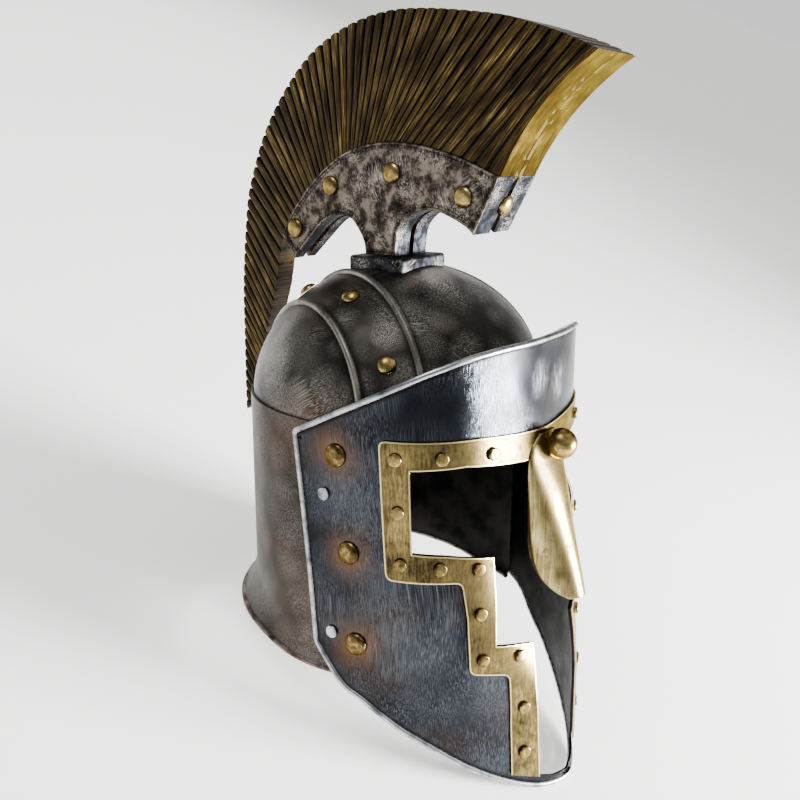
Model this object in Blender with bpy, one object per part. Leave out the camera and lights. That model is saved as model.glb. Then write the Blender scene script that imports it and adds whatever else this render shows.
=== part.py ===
# Gladiator helmet with a fan crest: steel skull dome, neck guard and visor plate, brass trim.
# Metres, +Z up, front toward -Y, the wearer's left at +X.
# The pieces are modelled upright, with the top of the dome at the origin, and an empty then leans
# them back until the chin rim and the neck rim stand on z = 0.

import bisect
import math
from collections import namedtuple

import bpy
import bmesh
from mathutils import Euler, Matrix, Vector

# Sheet metal and fits
SHEET = 0.0015
GAP = 0.0003
WIRE_RADIUS = 0.002

# Skull dome
DOME_HALF_WIDTH = 0.103
DOME_HALF_LENGTH = 0.0946
DOME_RISE = 0.0836
DOME_SKIRT = 0.021
DOME_SIDES = 36
DOME_RINGS = 8

# Beads pressed along two splayed bands of the dome
RIB_WIDTH = 0.005
RIB_HEIGHT = 0.0022
RIB_SPLAY = math.radians(27.0)
FRONT_RIB_OFFSET = 0.0345
REAR_RIB_OFFSET = 0.0684
RIB_STEPS = 22

# Neck guard, lapped over the dome from outside
NECK_TOP = 0.080
NECK_HEIGHT = 0.142
NECK_FLARE = 0.0156
NECK_STEPS = 32

# Visor plate: a sheet bent round the front, straight at the sides
VISOR_EASE = 0.0017
VISOR_FRONT_STANDOFF = 0.0135
VISOR_SHOULDER = 0.0236
VISOR_ROUNDNESS = 2.58
VISOR_CHIN_ROUNDNESS = 1.5
VISOR_CHIN_REACH = 0.026
VISOR_BLEND = 0.160
VISOR_GIRTH = 0.188
VISOR_TOP = 0.038
VISOR_HEIGHT = 0.2969
VISOR_COLUMN = 0.0125
VISOR_ROW = 0.028
EDGE_STEP = 0.020
BEND_STEPS = 360

# Brass trim round the face opening
TRIM_SHEET = 0.0012
TRIM_GAP = 0.0005
TRIM_CORNER = 0.0045

# Nose guard and its ball
NOSE_SHEET = 0.0015
NOSE_HEIGHT = 0.104
NOSE_TOP = 0.098
NOSE_HALF_WIDTH = 0.0225
NOSE_DEPTH = 0.0305
NOSE_ARC_STEPS = 9
BALL_RADIUS = 0.0098
BALL_DROP = 0.1048

# Crest: a saddle, two cast holder halves and two hollow fan halves, thicker toward the front
CREST_REACH = 0.145
CREST_RISE = 0.155
CREST_HALF_THICKNESS = 0.018
CREST_TAPER = 0.075
SLOT_HALF = 0.0025
FAN_INSET = 0.002
FAN_WALL = 0.0025
FAN_GROOVES = 20
FAN_GROOVE_DEPTH = 0.0012
FAN_TONGUE = 0.006
BORDER_WIDTH = 0.0035
BORDER_RELIEF = 0.0008
SADDLE_FRONT = 0.0195
SADDLE_REAR = 0.0262
SADDLE_TOP = 0.005
SADDLE_ROUND = 0.006
SADDLE_OVERHANG = 0.0085
SADDLE_STEPS = 5

# Rivets
TRIM_RIVET_RADIUS = 0.004
TRIM_RIVET_HEIGHT = 0.0018
VISOR_RIVET_RADIUS = 0.0072
VISOR_RIVET_HEIGHT = 0.0034
STEEL_RIVET_RADIUS = 0.004
STEEL_RIVET_HEIGHT = 0.0012
BAND_RIVET_RADIUS = 0.0058
BAND_RIVET_HEIGHT = 0.0032
CREST_RIVET_RADIUS = 0.0066
CREST_RIVET_HEIGHT = 0.0036
RIVET_SIDES = 8
CREST_PIN_RADIUS = 0.0022
PIN_CLEARANCE = 0.0003

# Visor outline from the middle of the brow to the chin, as the wire's outer edge
# columns: share of the girth round the plate, share of the height down the plate
Mark = namedtuple("Mark", "girth drop")
VISOR_OUTLINE = (
    Mark(0.000, 0.000), Mark(0.120, 0.000), Mark(0.245, 0.000), Mark(0.351, 0.005), Mark(0.415, 0.012),
    Mark(0.468, 0.021), Mark(0.556, 0.040), Mark(0.718, 0.088), Mark(0.859, 0.131), Mark(1.000, 0.175),
    Mark(0.991, 0.219), Mark(0.952, 0.452), Mark(0.929, 0.631), Mark(0.824, 0.711), Mark(0.751, 0.741),
    Mark(0.650, 0.799), Mark(0.535, 0.850), Mark(0.404, 0.908), Mark(0.255, 0.960), Mark(0.138, 0.989),
    Mark(0.046, 0.999), Mark(0.000, 1.000),
)
# Face opening from the middle of the brow to the middle of the chin strip
FACE_OPENING = (
    Mark(0.000, 0.254), Mark(0.129, 0.249), Mark(0.401, 0.226), Mark(0.577, 0.227),
    Mark(0.571, 0.397), Mark(0.466, 0.405), Mark(0.296, 0.428), Mark(0.293, 0.519), Mark(0.302, 0.620),
    Mark(0.225, 0.630), Mark(0.150, 0.640), Mark(0.160, 0.767), Mark(0.141, 0.958),
    Mark(0.070, 0.973), Mark(0.000, 0.977),
)
BROW_DEPTH = VISOR_HEIGHT * 0.2425
# Sheet side of the trim from the middle of the brow to the foot of the cheek
TRIM_OUTLINE = (
    Mark(0.000, 0.193), Mark(0.047, 0.192), Mark(0.353, 0.173), Mark(0.672, 0.168),
    Mark(0.653, 0.454), Mark(0.416, 0.466), Mark(0.401, 0.546), Mark(0.398, 0.672), Mark(0.261, 0.691),
    Mark(0.261, 0.799), Mark(0.251, 0.934),
)
TRIM_FOOT = Mark(0.141, 0.958)
TRIM_RIVETS = (
    Mark(0.621, 0.204), Mark(0.482, 0.204), Mark(0.302, 0.209), Mark(0.614, 0.311), Mark(0.608, 0.419),
    Mark(0.487, 0.430), Mark(0.357, 0.443), Mark(0.355, 0.540), Mark(0.353, 0.643), Mark(0.214, 0.656),
    Mark(0.213, 0.775), Mark(0.207, 0.883),
)
VISOR_RIVETS = (Mark(0.825, 0.212), Mark(0.781, 0.411), Mark(0.761, 0.608))
STEEL_RIVETS = (Mark(0.873, 0.297), Mark(0.850, 0.594))

# Neck guard from the middle of the back to its front end under the visor
# columns: angle from the back, shares of the height down to the top edge, crease and rim, share of flare
Rib = namedtuple("Rib", "angle top crease rim flare")
NECK_TABLE = (
    Rib(0.0, 0.000, 0.775, 1.000, 1.00), Rib(38.0, 0.004, 0.824, 1.028, 0.85),
    Rib(55.0, 0.012, 0.873, 1.046, 0.68), Rib(71.0, 0.018, 0.944, 1.092, 0.42),
    Rib(80.0, 0.024, 0.986, 1.120, 0.33), Rib(87.0, 0.028, 1.028, 1.144, 0.20),
    Rib(93.0, 0.032, 1.063, 1.160, 0.04), Rib(98.0, 0.035, 1.092, 1.168, -0.02),
    Rib(104.0, 0.038, 1.113, 1.176, -0.10), Rib(112.0, 0.040, 1.134, 1.183, -0.12),
)

# Nose guard from its top under the ball to its foot, where the sides end above the ridge
# columns: share of the height, share of the half width, share of the depth, degrees cut off each side
Level = namedtuple("Level", "drop width depth cut")
NOSE_TABLE = (
    Level(0.000, 0.450, 0.060, 0.0), Level(0.050, 0.760, 0.090, 0.0), Level(0.120, 0.950, 0.150, 0.0),
    Level(0.220, 1.000, 0.270, 0.0), Level(0.360, 0.980, 0.430, 0.0), Level(0.500, 0.940, 0.560, 0.0),
    Level(0.640, 0.890, 0.690, 0.0), Level(0.760, 0.840, 0.800, 4.0), Level(0.850, 0.820, 0.880, 13.0),
    Level(0.920, 0.800, 0.940, 26.0), Level(0.970, 0.790, 0.980, 40.0), Level(1.000, 0.780, 1.000, 55.0),
)

# Strands of the fan from the front edge to the end of the tail
# columns: where a strand leaves the holder or the tail's inner edge, and where it ends on the outer
# edge, as shares of the crest's reach along Y and of its rise along Z
Strand = namedtuple("Strand", "root_y root_z edge_y edge_z")
FAN_TABLE = (
    Strand(-0.590, 0.365, -1.000, 0.800), Strand(-0.345, 0.450, -0.800, 0.878),
    Strand(-0.083, 0.495, -0.500, 0.954), Strand(0.138, 0.480, 0.000, 0.993),
    Strand(0.310, 0.415, 0.400, 0.877), Strand(0.483, 0.285, 0.690, 0.613),
    Strand(0.634, 0.095, 0.848, 0.320), Strand(0.697, -0.155, 0.897, 0.110),
    Strand(0.772, -0.370, 0.927, -0.150), Strand(0.841, -0.555, 0.934, -0.420),
    Strand(0.890, -0.690, 0.938, -0.640), Strand(0.910, -0.745, 0.938, -0.765),
)
HOLDER_STRANDS = 7
FRONT_CURVE = 0.0065

# Under side of the holder from the front end to the rear end, round both arches and the post
# columns: shares of the crest's reach along Y and of its rise along Z
Corner = namedtuple("Corner", "y z")
HOLDER_UNDERSIDE = (
    Corner(-0.468, 0.142), Corner(-0.432, 0.171), Corner(-0.359, 0.203), Corner(-0.284, 0.226),
    Corner(-0.219, 0.230), Corner(-0.152, 0.215), Corner(-0.103, 0.182), Corner(-0.073, 0.141),
    Corner(-0.063, 0.090), Corner(-0.060, 0.036), Corner(0.112, 0.036), Corner(0.120, 0.088),
    Corner(0.152, 0.138), Corner(0.194, 0.181), Corner(0.248, 0.194), Corner(0.312, 0.185),
    Corner(0.380, 0.151), Corner(0.462, 0.078), Corner(0.553, -0.007),
)
HOLDER_RIVETS = (Corner(-0.416, 0.285), Corner(-0.038, 0.372), Corner(0.318, 0.314), Corner(0.545, 0.126))

# Rivets on each band of the dome, as a share of the dome's half length from back (+) to front (-)
BAND_RIVETS = (0.565, -0.040, -0.476)


def clear_scene():
    for item in list(bpy.data.objects):
        bpy.data.objects.remove(item, do_unlink=True)


def make_material(name, colour, roughness, metallic):
    material = bpy.data.materials.new(name)
    material.use_nodes = True
    shader = material.node_tree.nodes["Principled BSDF"]
    shader.inputs["Base Color"].default_value = (*colour, 1.0)
    shader.inputs["Roughness"].default_value = roughness
    shader.inputs["Metallic"].default_value = metallic
    material.diffuse_color = (*colour, 1.0)
    return material


def make_object(name, bm, material, smooth_angle=35.0):
    """Closes a bmesh into a named object under the lean empty."""
    bmesh.ops.remove_doubles(bm, verts=bm.verts, dist=1e-6)
    bmesh.ops.recalc_face_normals(bm, faces=bm.faces)
    mesh = bpy.data.meshes.new(name)
    bm.to_mesh(mesh)
    bm.free()
    mesh.materials.append(material)
    mesh.shade_smooth()
    mesh.set_sharp_from_angle(angle=math.radians(smooth_angle))
    item = bpy.data.objects.new(name, mesh)
    bpy.context.collection.objects.link(item)
    item.parent = bpy.data.objects["lean"]
    return item


def loft(bm, rings, capped=True, closed=False):
    """Joins rings of equal length into a tube; a ring is a closed list of points."""
    loops = [[bm.verts.new(point) for point in ring] for ring in rings]
    count = len(loops[0])
    pairs = list(zip(loops, loops[1:]))
    if closed:
        pairs.append((loops[-1], loops[0]))
    for one, two in pairs:
        for i in range(count):
            j = (i + 1) % count
            bm.faces.new((one[i], one[j], two[j], two[i]))
    if capped and not closed:
        bm.faces.new(list(reversed(loops[0])))
        bm.faces.new(loops[-1])
    return loops


def blend(rows, position):
    """Smooth reading of a table of rows at a fractional row number (Catmull-Rom)."""
    last = len(rows) - 1
    position = min(max(position, 0.0), last)
    i = min(int(position), last - 1)
    f = position - i
    a, b, c, d = (rows[min(max(k, 0), last)] for k in (i - 1, i, i + 1, i + 2))
    return tuple(
        0.5 * (2 * q + (r - p) * f + (2 * p - 5 * q + 4 * r - s) * f * f + (3 * q - p - 3 * r + s) * f ** 3)
        for p, q, r, s in zip(a, b, c, d)
    )


def even_positions(points, count):
    """Fractional row numbers that split a chain of points into equal lengths."""
    lengths = [0.0]
    for one, two in zip(points, points[1:]):
        lengths.append(lengths[-1] + (two - one).length)
    positions = []
    k = 0
    for i in range(count + 1):
        target = lengths[-1] * i / count
        while k < len(lengths) - 2 and lengths[k + 1] < target:
            k += 1
        span = lengths[k + 1] - lengths[k]
        positions.append(k + (target - lengths[k]) / span)
    return positions


# Skull dome

def dome_drop(x, y, grow=0.0):
    """Height of the dome's surface, pushed out by grow, over the point x, y."""
    share = 1.0 - (x / (DOME_HALF_WIDTH + grow)) ** 2 - (y / (DOME_HALF_LENGTH + grow)) ** 2
    return -DOME_RISE + (DOME_RISE + grow) * math.sqrt(max(share, 0.0))


def dome_normal(point):
    return Vector((
        point.x / DOME_HALF_WIDTH ** 2, point.y / DOME_HALF_LENGTH ** 2, (point.z + DOME_RISE) / DOME_RISE ** 2,
    )).normalized()


def dome_ring(share, grow):
    """One level ring of the dome; share runs from 0 at the top to 1 at the spring line."""
    tilt = share * math.pi / 2
    ring = []
    for i in range(DOME_SIDES):
        turn = 2 * math.pi * i / DOME_SIDES
        ring.append(Vector((
            (DOME_HALF_WIDTH + grow) * math.sin(tilt) * math.sin(turn),
            (DOME_HALF_LENGTH + grow) * math.sin(tilt) * math.cos(turn),
            -DOME_RISE + (DOME_RISE + grow) * math.cos(tilt),
        )))
    return ring


def build_dome(material):
    bm = bmesh.new()
    shares = [(i + 1) / DOME_RINGS for i in range(DOME_RINGS)]
    drop = Vector((0.0, 0.0, -DOME_SKIRT))
    outer = [dome_ring(share, 0.0) for share in shares]
    inner = [dome_ring(share, -SHEET) for share in shares]
    rings = outer + [[p + drop for p in outer[-1]], [p + drop for p in inner[-1]]] + inner[::-1]
    loops = loft(bm, rings, capped=False)
    for loop, height in ((loops[0], 0.0), (loops[-1], -SHEET)):
        top = bm.verts.new((0.0, 0.0, height))
        for i in range(DOME_SIDES):
            bm.faces.new((loop[i], loop[(i + 1) % DOME_SIDES], top))
    return make_object("skull_dome", bm, material, 60.0)


def rib_point(offset, height_angle, side):
    """Point where the upright band plane at this offset meets the dome, by angle over the dome."""
    across, along = math.cos(RIB_SPLAY), math.sin(RIB_SPLAY)
    width, length = DOME_HALF_WIDTH, DOME_HALF_LENGTH
    reach = math.hypot(across * width, along * length)
    foot = offset / reach
    half = math.sqrt(1.0 - foot * foot)
    main = (-across * width / reach, along * length / reach)
    cross = (-main[1], main[0])
    u = foot * main[0] + half * math.cos(height_angle) * cross[0]
    v = foot * main[1] + half * math.cos(height_angle) * cross[1]
    z = half * math.sin(height_angle)
    return Vector((-side * u * width, v * length, -DOME_RISE + z * DOME_RISE))


def rib_section(point, direction):
    """Half-round section of a bead standing GAP off the dome, square to its direction."""
    up = dome_normal(point)
    across = direction.cross(up).normalized()
    ring = [point + across * (RIB_WIDTH / 2) + up * GAP]
    for k in range(1, 4):
        turn = math.pi * k / 4
        ring.append(point + across * (RIB_WIDTH / 2 * math.cos(turn)) + up * (GAP + RIB_HEIGHT * math.sin(turn)))
    ring.append(point - across * (RIB_WIDTH / 2) + up * GAP)
    return ring


def rib_path(offset, side, first, last):
    return [
        rib_point(offset, first + (last - first) * i / RIB_STEPS, side) for i in range(RIB_STEPS + 1)
    ]


def build_rear_rib(name, side, material):
    path = rib_path(REAR_RIB_OFFSET, side, math.radians(8.0), math.radians(172.0))
    rings = []
    for i, point in enumerate(path):
        direction = (path[min(i + 1, RIB_STEPS)] - path[max(i - 1, 0)]).normalized()
        rings.append(rib_section(point, direction))
    bm = bmesh.new()
    loft(bm, rings)
    return make_object(name, bm, material)


def build_front_rib(material):
    """Both front beads, mitred where they meet behind the crest."""
    fine = [rib_point(FRONT_RIB_OFFSET, math.radians(172.0 * i / 400), 1) for i in range(401)]
    turn_index = min(range(401), key=lambda i: abs(fine[i].x) + (1.0 if fine[i].y < 0 else 0.0))
    meet = math.radians(172.0 * turn_index / 400)
    front = math.radians(172.0) if fine[-1].y < fine[0].y else math.radians(8.0)
    path = rib_path(FRONT_RIB_OFFSET, 1, front, meet)
    rings = []
    for i, point in enumerate(path):
        direction = (path[min(i + 1, RIB_STEPS)] - path[max(i - 1, 0)]).normalized()
        ring = rib_section(point, direction)
        if i == RIB_STEPS:
            ring = [p - direction * (p.x / direction.x) for p in ring]
        rings.append(ring)
    mirrored = [[Vector((-p.x, p.y, p.z)) for p in ring] for ring in rings[-2::-1]]
    bm = bmesh.new()
    loft(bm, rings + mirrored)
    return make_object("crown_rib_front", bm, material)


# Neck guard

def neck_wall_radius(angle, grow):
    width, length = DOME_HALF_WIDTH + grow, DOME_HALF_LENGTH + grow
    return 1.0 / math.hypot(math.sin(angle) / width, math.cos(angle) / length)


def neck_row(angle_degrees):
    for one, two in zip(NECK_TABLE, NECK_TABLE[1:]):
        if angle_degrees <= two.angle:
            f = (angle_degrees - one.angle) / (two.angle - one.angle)
            return [p + (q - p) * f for p, q in zip(one, two)]
    return list(NECK_TABLE[-1])


def neck_section(angle_degrees, side):
    """Closed section of the neck guard at one angle from the back: wall, flare and rolled rim."""
    angle = math.radians(angle_degrees)
    top, crease, rim, flare = neck_row(angle_degrees)[1:]
    wall = neck_wall_radius(angle, GAP + SHEET)
    rim_radius = wall - WIRE_RADIUS + NECK_FLARE * flare
    top_z, crease_z, rim_z = (-NECK_TOP - NECK_HEIGHT * share for share in (top, crease, rim))
    drop = crease_z - rim_z
    outer = [(wall, top_z), (wall, (top_z + crease_z) / 2), (wall, crease_z)]
    for share, bulge in ((0.30, 0.16), (0.62, 0.48)):
        outer.append((wall + (rim_radius - wall) * bulge, crease_z - drop * share))
    inner = [(radius - SHEET, z) for radius, z in outer]
    roll = []
    for k in range(6):
        turn = math.radians(75.0 - 52.0 * k)
        roll.append((rim_radius + WIRE_RADIUS * math.cos(turn), rim_z + WIRE_RADIUS * math.sin(turn)))
    profile = outer + roll + inner[::-1]
    return [Vector((side * r * math.sin(angle), r * math.cos(angle), z)) for r, z in profile]


def neck_rim_centre(angle_degrees):
    angle = math.radians(angle_degrees)
    row = neck_row(angle_degrees)
    radius = neck_wall_radius(angle, GAP + SHEET) - WIRE_RADIUS + NECK_FLARE * row[4]
    return Vector((radius * math.sin(angle), radius * math.cos(angle), -NECK_TOP - NECK_HEIGHT * row[3]))


def build_neck_guard(material):
    end = NECK_TABLE[-1].angle
    rings = []
    for i in range(NECK_STEPS + 1):
        angle = -end + 2 * end * i / NECK_STEPS
        rings.append(neck_section(abs(angle), 1 if angle >= 0 else -1))
    bm = bmesh.new()
    loft(bm, rings)
    return make_object("neck_guard", bm, material, 40.0)


# Visor plate and what lies on it, laid out flat and then bent round the front

def visor_half_width():
    return DOME_HALF_WIDTH + GAP + 2 * SHEET + VISOR_EASE


def visor_front():
    return DOME_HALF_LENGTH + VISOR_FRONT_STANDOFF


def bend_table(blend):
    """Arc length against the place on the plate's bent section; blend is 0 at the brow, 1 at the chin."""
    roundness = VISOR_ROUNDNESS + (VISOR_CHIN_ROUNDNESS - VISOR_ROUNDNESS) * blend
    reach = visor_front() - VISOR_SHOULDER + VISOR_CHIN_REACH * blend
    lengths, places = [0.0], [(0.0, -VISOR_SHOULDER - reach)]
    for i in range(1, BEND_STEPS + 1):
        turn = math.pi / 2 * i / BEND_STEPS
        x = visor_half_width() * math.sin(turn) ** (2.0 / roundness)
        y = -VISOR_SHOULDER - reach * max(math.cos(turn), 0.0) ** (2.0 / roundness)
        lengths.append(lengths[-1] + math.hypot(x - places[-1][0], y - places[-1][1]))
        places.append((x, y))
    return lengths, places


BEND_TABLES = {}


def visor_face(girth, height):
    """Outer face of the plate: round above the brow line, drawn to a keel toward the chin."""
    blend = min(max((-VISOR_TOP - BROW_DEPTH - height) / VISOR_BLEND, 0.0), 1.0) ** 2
    key = round(blend, 4)
    for wanted in (0.0, key):
        if wanted not in BEND_TABLES:
            BEND_TABLES[wanted] = bend_table(wanted)
    side = 1.0 if girth >= 0 else -1.0
    shoulder = BEND_TABLES[0.0][0][-1]
    if abs(girth) >= shoulder:
        return Vector((side * visor_half_width(), abs(girth) - shoulder - VISOR_SHOULDER, height))
    lengths, places = BEND_TABLES[key]
    target = abs(girth) / shoulder * lengths[-1]
    i = min(max(bisect.bisect_right(lengths, target), 1), BEND_STEPS)
    f = (target - lengths[i - 1]) / (lengths[i] - lengths[i - 1])
    one, two = places[i - 1], places[i]
    return Vector((side * (one[0] + (two[0] - one[0]) * f), one[1] + (two[1] - one[1]) * f, height))


def visor_point(girth, height, lift):
    """Point of the visor at a distance round the plate and a height, lifted off its outer face."""
    step = 0.0008
    around = visor_face(girth + step, height) - visor_face(girth - step, height)
    down = visor_face(girth, height - step) - visor_face(girth, height + step)
    return visor_face(girth, height) + down.cross(around).normalized() * lift


def flat(mark):
    return Vector((mark.girth * VISOR_GIRTH, -VISOR_TOP - mark.drop * VISOR_HEIGHT))


def stretch(point):
    """How much a short step round the plate grows when the flat pattern is bent at this place."""
    step = 0.0008
    return (visor_face(point.x + step, point.y) - visor_face(point.x - step, point.y)).length / (2 * step)


def inset_outline(points, inset):
    """Moves an open half outline, brow to chin, inward by a distance measured on the bent plate."""
    moved = []
    last = len(points) - 1
    for i, point in enumerate(points):
        scale = stretch(point)
        normals = []
        for one, two in ((i - 1, i), (i, i + 1)):
            if one >= 0 and two <= last:
                edge = points[two] - points[one]
                normals.append(Vector((edge.y, -edge.x * scale)).normalized())
        total = sum(normals, Vector((0.0, 0.0))).normalized()
        shift = inset / max(total.dot(normals[0]), 0.3)
        moved.append(point + Vector((total.x * shift / scale, total.y * shift)))
    moved[0].x = 0.0
    moved[-1].x = 0.0
    return moved


def bent_sheet(name, half_outline, lift, thickness, material):
    """A flat half pattern, mirrored, cut along its bend lines, bent and given its thickness."""
    bm = bmesh.new()
    corners = [bm.verts.new((p.x, p.y, 0.0)) for p in half_outline]
    bm.faces.new(corners)
    knee = -VISOR_TOP - BROW_DEPTH
    columns = range(1, int(VISOR_GIRTH / VISOR_COLUMN) + 1)
    rows = range(int(VISOR_HEIGHT / VISOR_ROW))
    cuts = [((VISOR_COLUMN * i, 0.0, 0.0), (1.0, 0.0, 0.0)) for i in columns]
    cuts += [((0.0, knee - VISOR_ROW * i, 0.0), (0.0, 1.0, 0.0)) for i in rows]
    for place, direction in cuts:
        geometry = bm.verts[:] + bm.edges[:] + bm.faces[:]
        bmesh.ops.bisect_plane(bm, geom=geometry, dist=1e-6, plane_co=place, plane_no=direction)
    bmesh.ops.triangulate(bm, faces=bm.faces)
    flat_faces = [[(v.co.x, v.co.y) for v in face.verts] for face in bm.faces]
    bm.free()
    flat_faces += [[(-x, y) for x, y in reversed(face)] for face in flat_faces]

    solid = bmesh.new()
    keys = {}

    def corner(x, y, outside):
        key = (round(x, 7), round(y, 7), outside)
        if key not in keys:
            keys[key] = solid.verts.new(visor_point(x, y, lift + (thickness if outside else 0.0)))
        return keys[key]

    edge_count = {}
    for face in flat_faces:
        names = [(round(x, 7), round(y, 7)) for x, y in face]
        for one, two in zip(names, names[1:] + names[:1]):
            edge_count[(one, two)] = edge_count.get((one, two), 0) + 1
    for face in flat_faces:
        solid.faces.new([corner(x, y, True) for x, y in face])
        solid.faces.new([corner(x, y, False) for x, y in reversed(face)])
    for one, two in edge_count:
        if (two, one) not in edge_count:
            solid.faces.new((
                corner(*two, True), corner(*one, True), corner(*one, False), corner(*two, False),
            ))
    return make_object(name, solid, material, 30.0)


def visor_outline():
    """Outer edge of the wire in the flat pattern, with points added along its long runs."""
    corners = [flat(mark) for mark in VISOR_OUTLINE]
    points = []
    for one, two in zip(corners, corners[1:]):
        steps = max(round((two - one).length / EDGE_STEP), 1)
        points += [one.lerp(two, k / steps) for k in range(steps)]
    return points + corners[-1:]


def edge_wire_path():
    """Centre line of the wire over one half, brow to chin."""
    return [visor_point(p.x, p.y, -SHEET / 2) for p in inset_outline(visor_outline(), WIRE_RADIUS)]


def build_visor(material):
    plate_edge = inset_outline(visor_outline(), 2 * WIRE_RADIUS + GAP)
    opening = [flat(mark) for mark in FACE_OPENING]
    return bent_sheet("visor_plate", plate_edge + opening[::-1], -SHEET, SHEET, material)


def build_edge_wire(material):
    """The wire that the plate's edge is closed round, one loop from brow to chin and back."""
    path = edge_wire_path()
    path += [Vector((-p.x, p.y, p.z)) for p in path[-2:0:-1]]
    curve = bpy.data.curves.new("visor_edge_wire", "CURVE")
    curve.dimensions = "3D"
    curve.bevel_depth = WIRE_RADIUS
    curve.bevel_resolution = 1
    spline = curve.splines.new("POLY")
    spline.points.add(len(path) - 1)
    spline.use_cyclic_u = True
    for control, point in zip(spline.points, path):
        control.co = (*point, 1.0)
    curve.materials.append(material)
    item = bpy.data.objects.new("visor_edge_wire", curve)
    bpy.context.collection.objects.link(item)
    item.parent = bpy.data.objects["lean"]
    return item


def round_corners(points, radius):
    """Replaces each strong corner of a flat outline by three points of an arc."""
    rounded = list(points[:1])
    for before, point, after in zip(points, points[1:], points[2:]):
        one, two = (before - point), (after - point)
        if one.angle(two) > math.radians(140.0):
            rounded.append(point)
            continue
        start = point + one.normalized() * radius
        end = point + two.normalized() * radius
        middle = (start + end) / 2 + (point - (start + end) / 2) * 0.41
        rounded += [start, middle, end]
    rounded.append(points[-1])
    return rounded


def build_trim(material):
    sheet_side = round_corners([flat(mark) for mark in TRIM_OUTLINE], TRIM_CORNER)
    opening = [flat(mark) for mark in FACE_OPENING[:-2]]
    opening[-1] = Vector((opening[-1].x, flat(TRIM_FOOT).y))
    outline = sheet_side + opening[::-1]
    return bent_sheet("face_trim", outline, TRIM_GAP, TRIM_SHEET, material)


# Nose guard

def nose_base(half):
    """Where the side edges of the nose guard lie in front of the trim, for a half width."""
    seat = visor_face(half - NOSE_SHEET, -NOSE_TOP)
    return seat.y - TRIM_GAP - TRIM_SHEET - GAP


def nose_section(level):
    half = NOSE_HALF_WIDTH * level.width
    depth = NOSE_DEPTH * level.depth
    base = nose_base(half)
    z = -NOSE_TOP - NOSE_HEIGHT * level.drop
    first = math.radians(level.cut)
    outer, inner = [], []
    for i in range(NOSE_ARC_STEPS + 1):
        turn = first + (math.pi - 2 * first) * i / NOSE_ARC_STEPS
        across, forward = math.cos(turn), math.sin(turn)
        outer.append(Vector((half * across, base - depth * forward, z)))
        inner.append(Vector(((half - NOSE_SHEET) * across, base - (depth - NOSE_SHEET) * forward, z)))
    return outer + inner[::-1]


def build_nose_guard(material):
    bm = bmesh.new()
    loft(bm, [nose_section(level) for level in NOSE_TABLE])
    return make_object("nose_guard", bm, material, 50.0)


def nose_ridge(drop):
    """Front of the nose guard at a depth below the top of the dome."""
    share = (drop - NOSE_TOP) / NOSE_HEIGHT
    for one, two in zip(NOSE_TABLE, NOSE_TABLE[1:]):
        if share <= two.drop:
            f = (share - one.drop) / (two.drop - one.drop)
            half, depth = (p + (q - p) * f for p, q in ((one.width, two.width), (one.depth, two.depth)))
            return nose_base(NOSE_HALF_WIDTH * half) - NOSE_DEPTH * depth
    return nose_base(NOSE_HALF_WIDTH * NOSE_TABLE[-1].width) - NOSE_DEPTH


# Rivets: turned profiles set square on their seats

def turned_solid(profile, sides):
    """Solid of revolution about Z from profile points (radius, height), closed at both ends."""
    bm = bmesh.new()
    rings = [
        [Vector((r * math.cos(2 * math.pi * i / sides), r * math.sin(2 * math.pi * i / sides), z))
         for i in range(sides)] for r, z in profile
    ]
    loft(bm, rings)
    return bm


def domed_profile(radius, height):
    return [
        (radius, 0.0), (radius * 0.93, height * 0.42), (radius * 0.70, height * 0.80), (radius * 0.28, height),
    ]


def flat_profile(radius, height):
    return [(radius, 0.0), (radius, height * 0.65), (radius * 0.82, height)]


def set_rivet(name, profile, seat, normal, material):
    bm = turned_solid(profile, RIVET_SIDES)
    turn = Vector((0.0, 0.0, 1.0)).rotation_difference(normal).to_matrix().to_4x4()
    bmesh.ops.transform(bm, verts=bm.verts, matrix=Matrix.Translation(seat + normal * GAP) @ turn)
    return make_object(name, bm, material)


def visor_rivets(name, marks, profile, lift, material):
    for side, side_name in ((-1, "right"), (1, "left")):
        for number, mark in enumerate(marks, 1):
            place = flat(mark)
            seat = visor_point(side * place.x, place.y, lift)
            away = visor_point(side * place.x, place.y, lift + SHEET) - seat
            set_rivet(f"{name}_{side_name}_{number}", profile, seat, away.normalized(), material)


def band_rivets(material):
    middle = (FRONT_RIB_OFFSET + REAR_RIB_OFFSET) / 2
    for side, side_name in ((-1, "right"), (1, "left")):
        for number, share in enumerate(BAND_RIVETS, 1):
            y = share * DOME_HALF_LENGTH
            x = side * (middle - math.sin(RIB_SPLAY) * y) / math.cos(RIB_SPLAY)
            seat = Vector((x, y, dome_drop(x, y)))
            profile = domed_profile(BAND_RIVET_RADIUS, BAND_RIVET_HEIGHT)
            set_rivet(f"band_rivet_{side_name}_{number}", profile, seat, dome_normal(seat), material)


def build_ball(material):
    seat_y = nose_ridge(BALL_DROP + BALL_RADIUS) - GAP
    profile = []
    start = math.radians(-30.0)
    for i in range(6):
        turn = start + (math.radians(80.0) - start) * i / 5
        profile.append((BALL_RADIUS * math.cos(turn), BALL_RADIUS * (math.sin(turn) - math.sin(start))))
    bm = turned_solid(profile, 12)
    forward = Matrix.Rotation(math.radians(90.0), 4, "X")
    bmesh.ops.transform(bm, verts=bm.verts, matrix=Matrix.Translation((0.0, seat_y, -BALL_DROP)) @ forward)
    return make_object("nose_ball", bm, material)


# Crest

def crest_half(y):
    """Half thickness of the crest at a place along it: a wedge, thicker toward the front."""
    return CREST_HALF_THICKNESS - CREST_TAPER * y


def strand(position):
    root_y, root_z, edge_y, edge_z = blend(FAN_TABLE, position)
    root = Vector((root_y * CREST_REACH, root_z * CREST_RISE))
    edge = Vector((edge_y * CREST_REACH, edge_z * CREST_RISE))
    return root, edge


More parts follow.
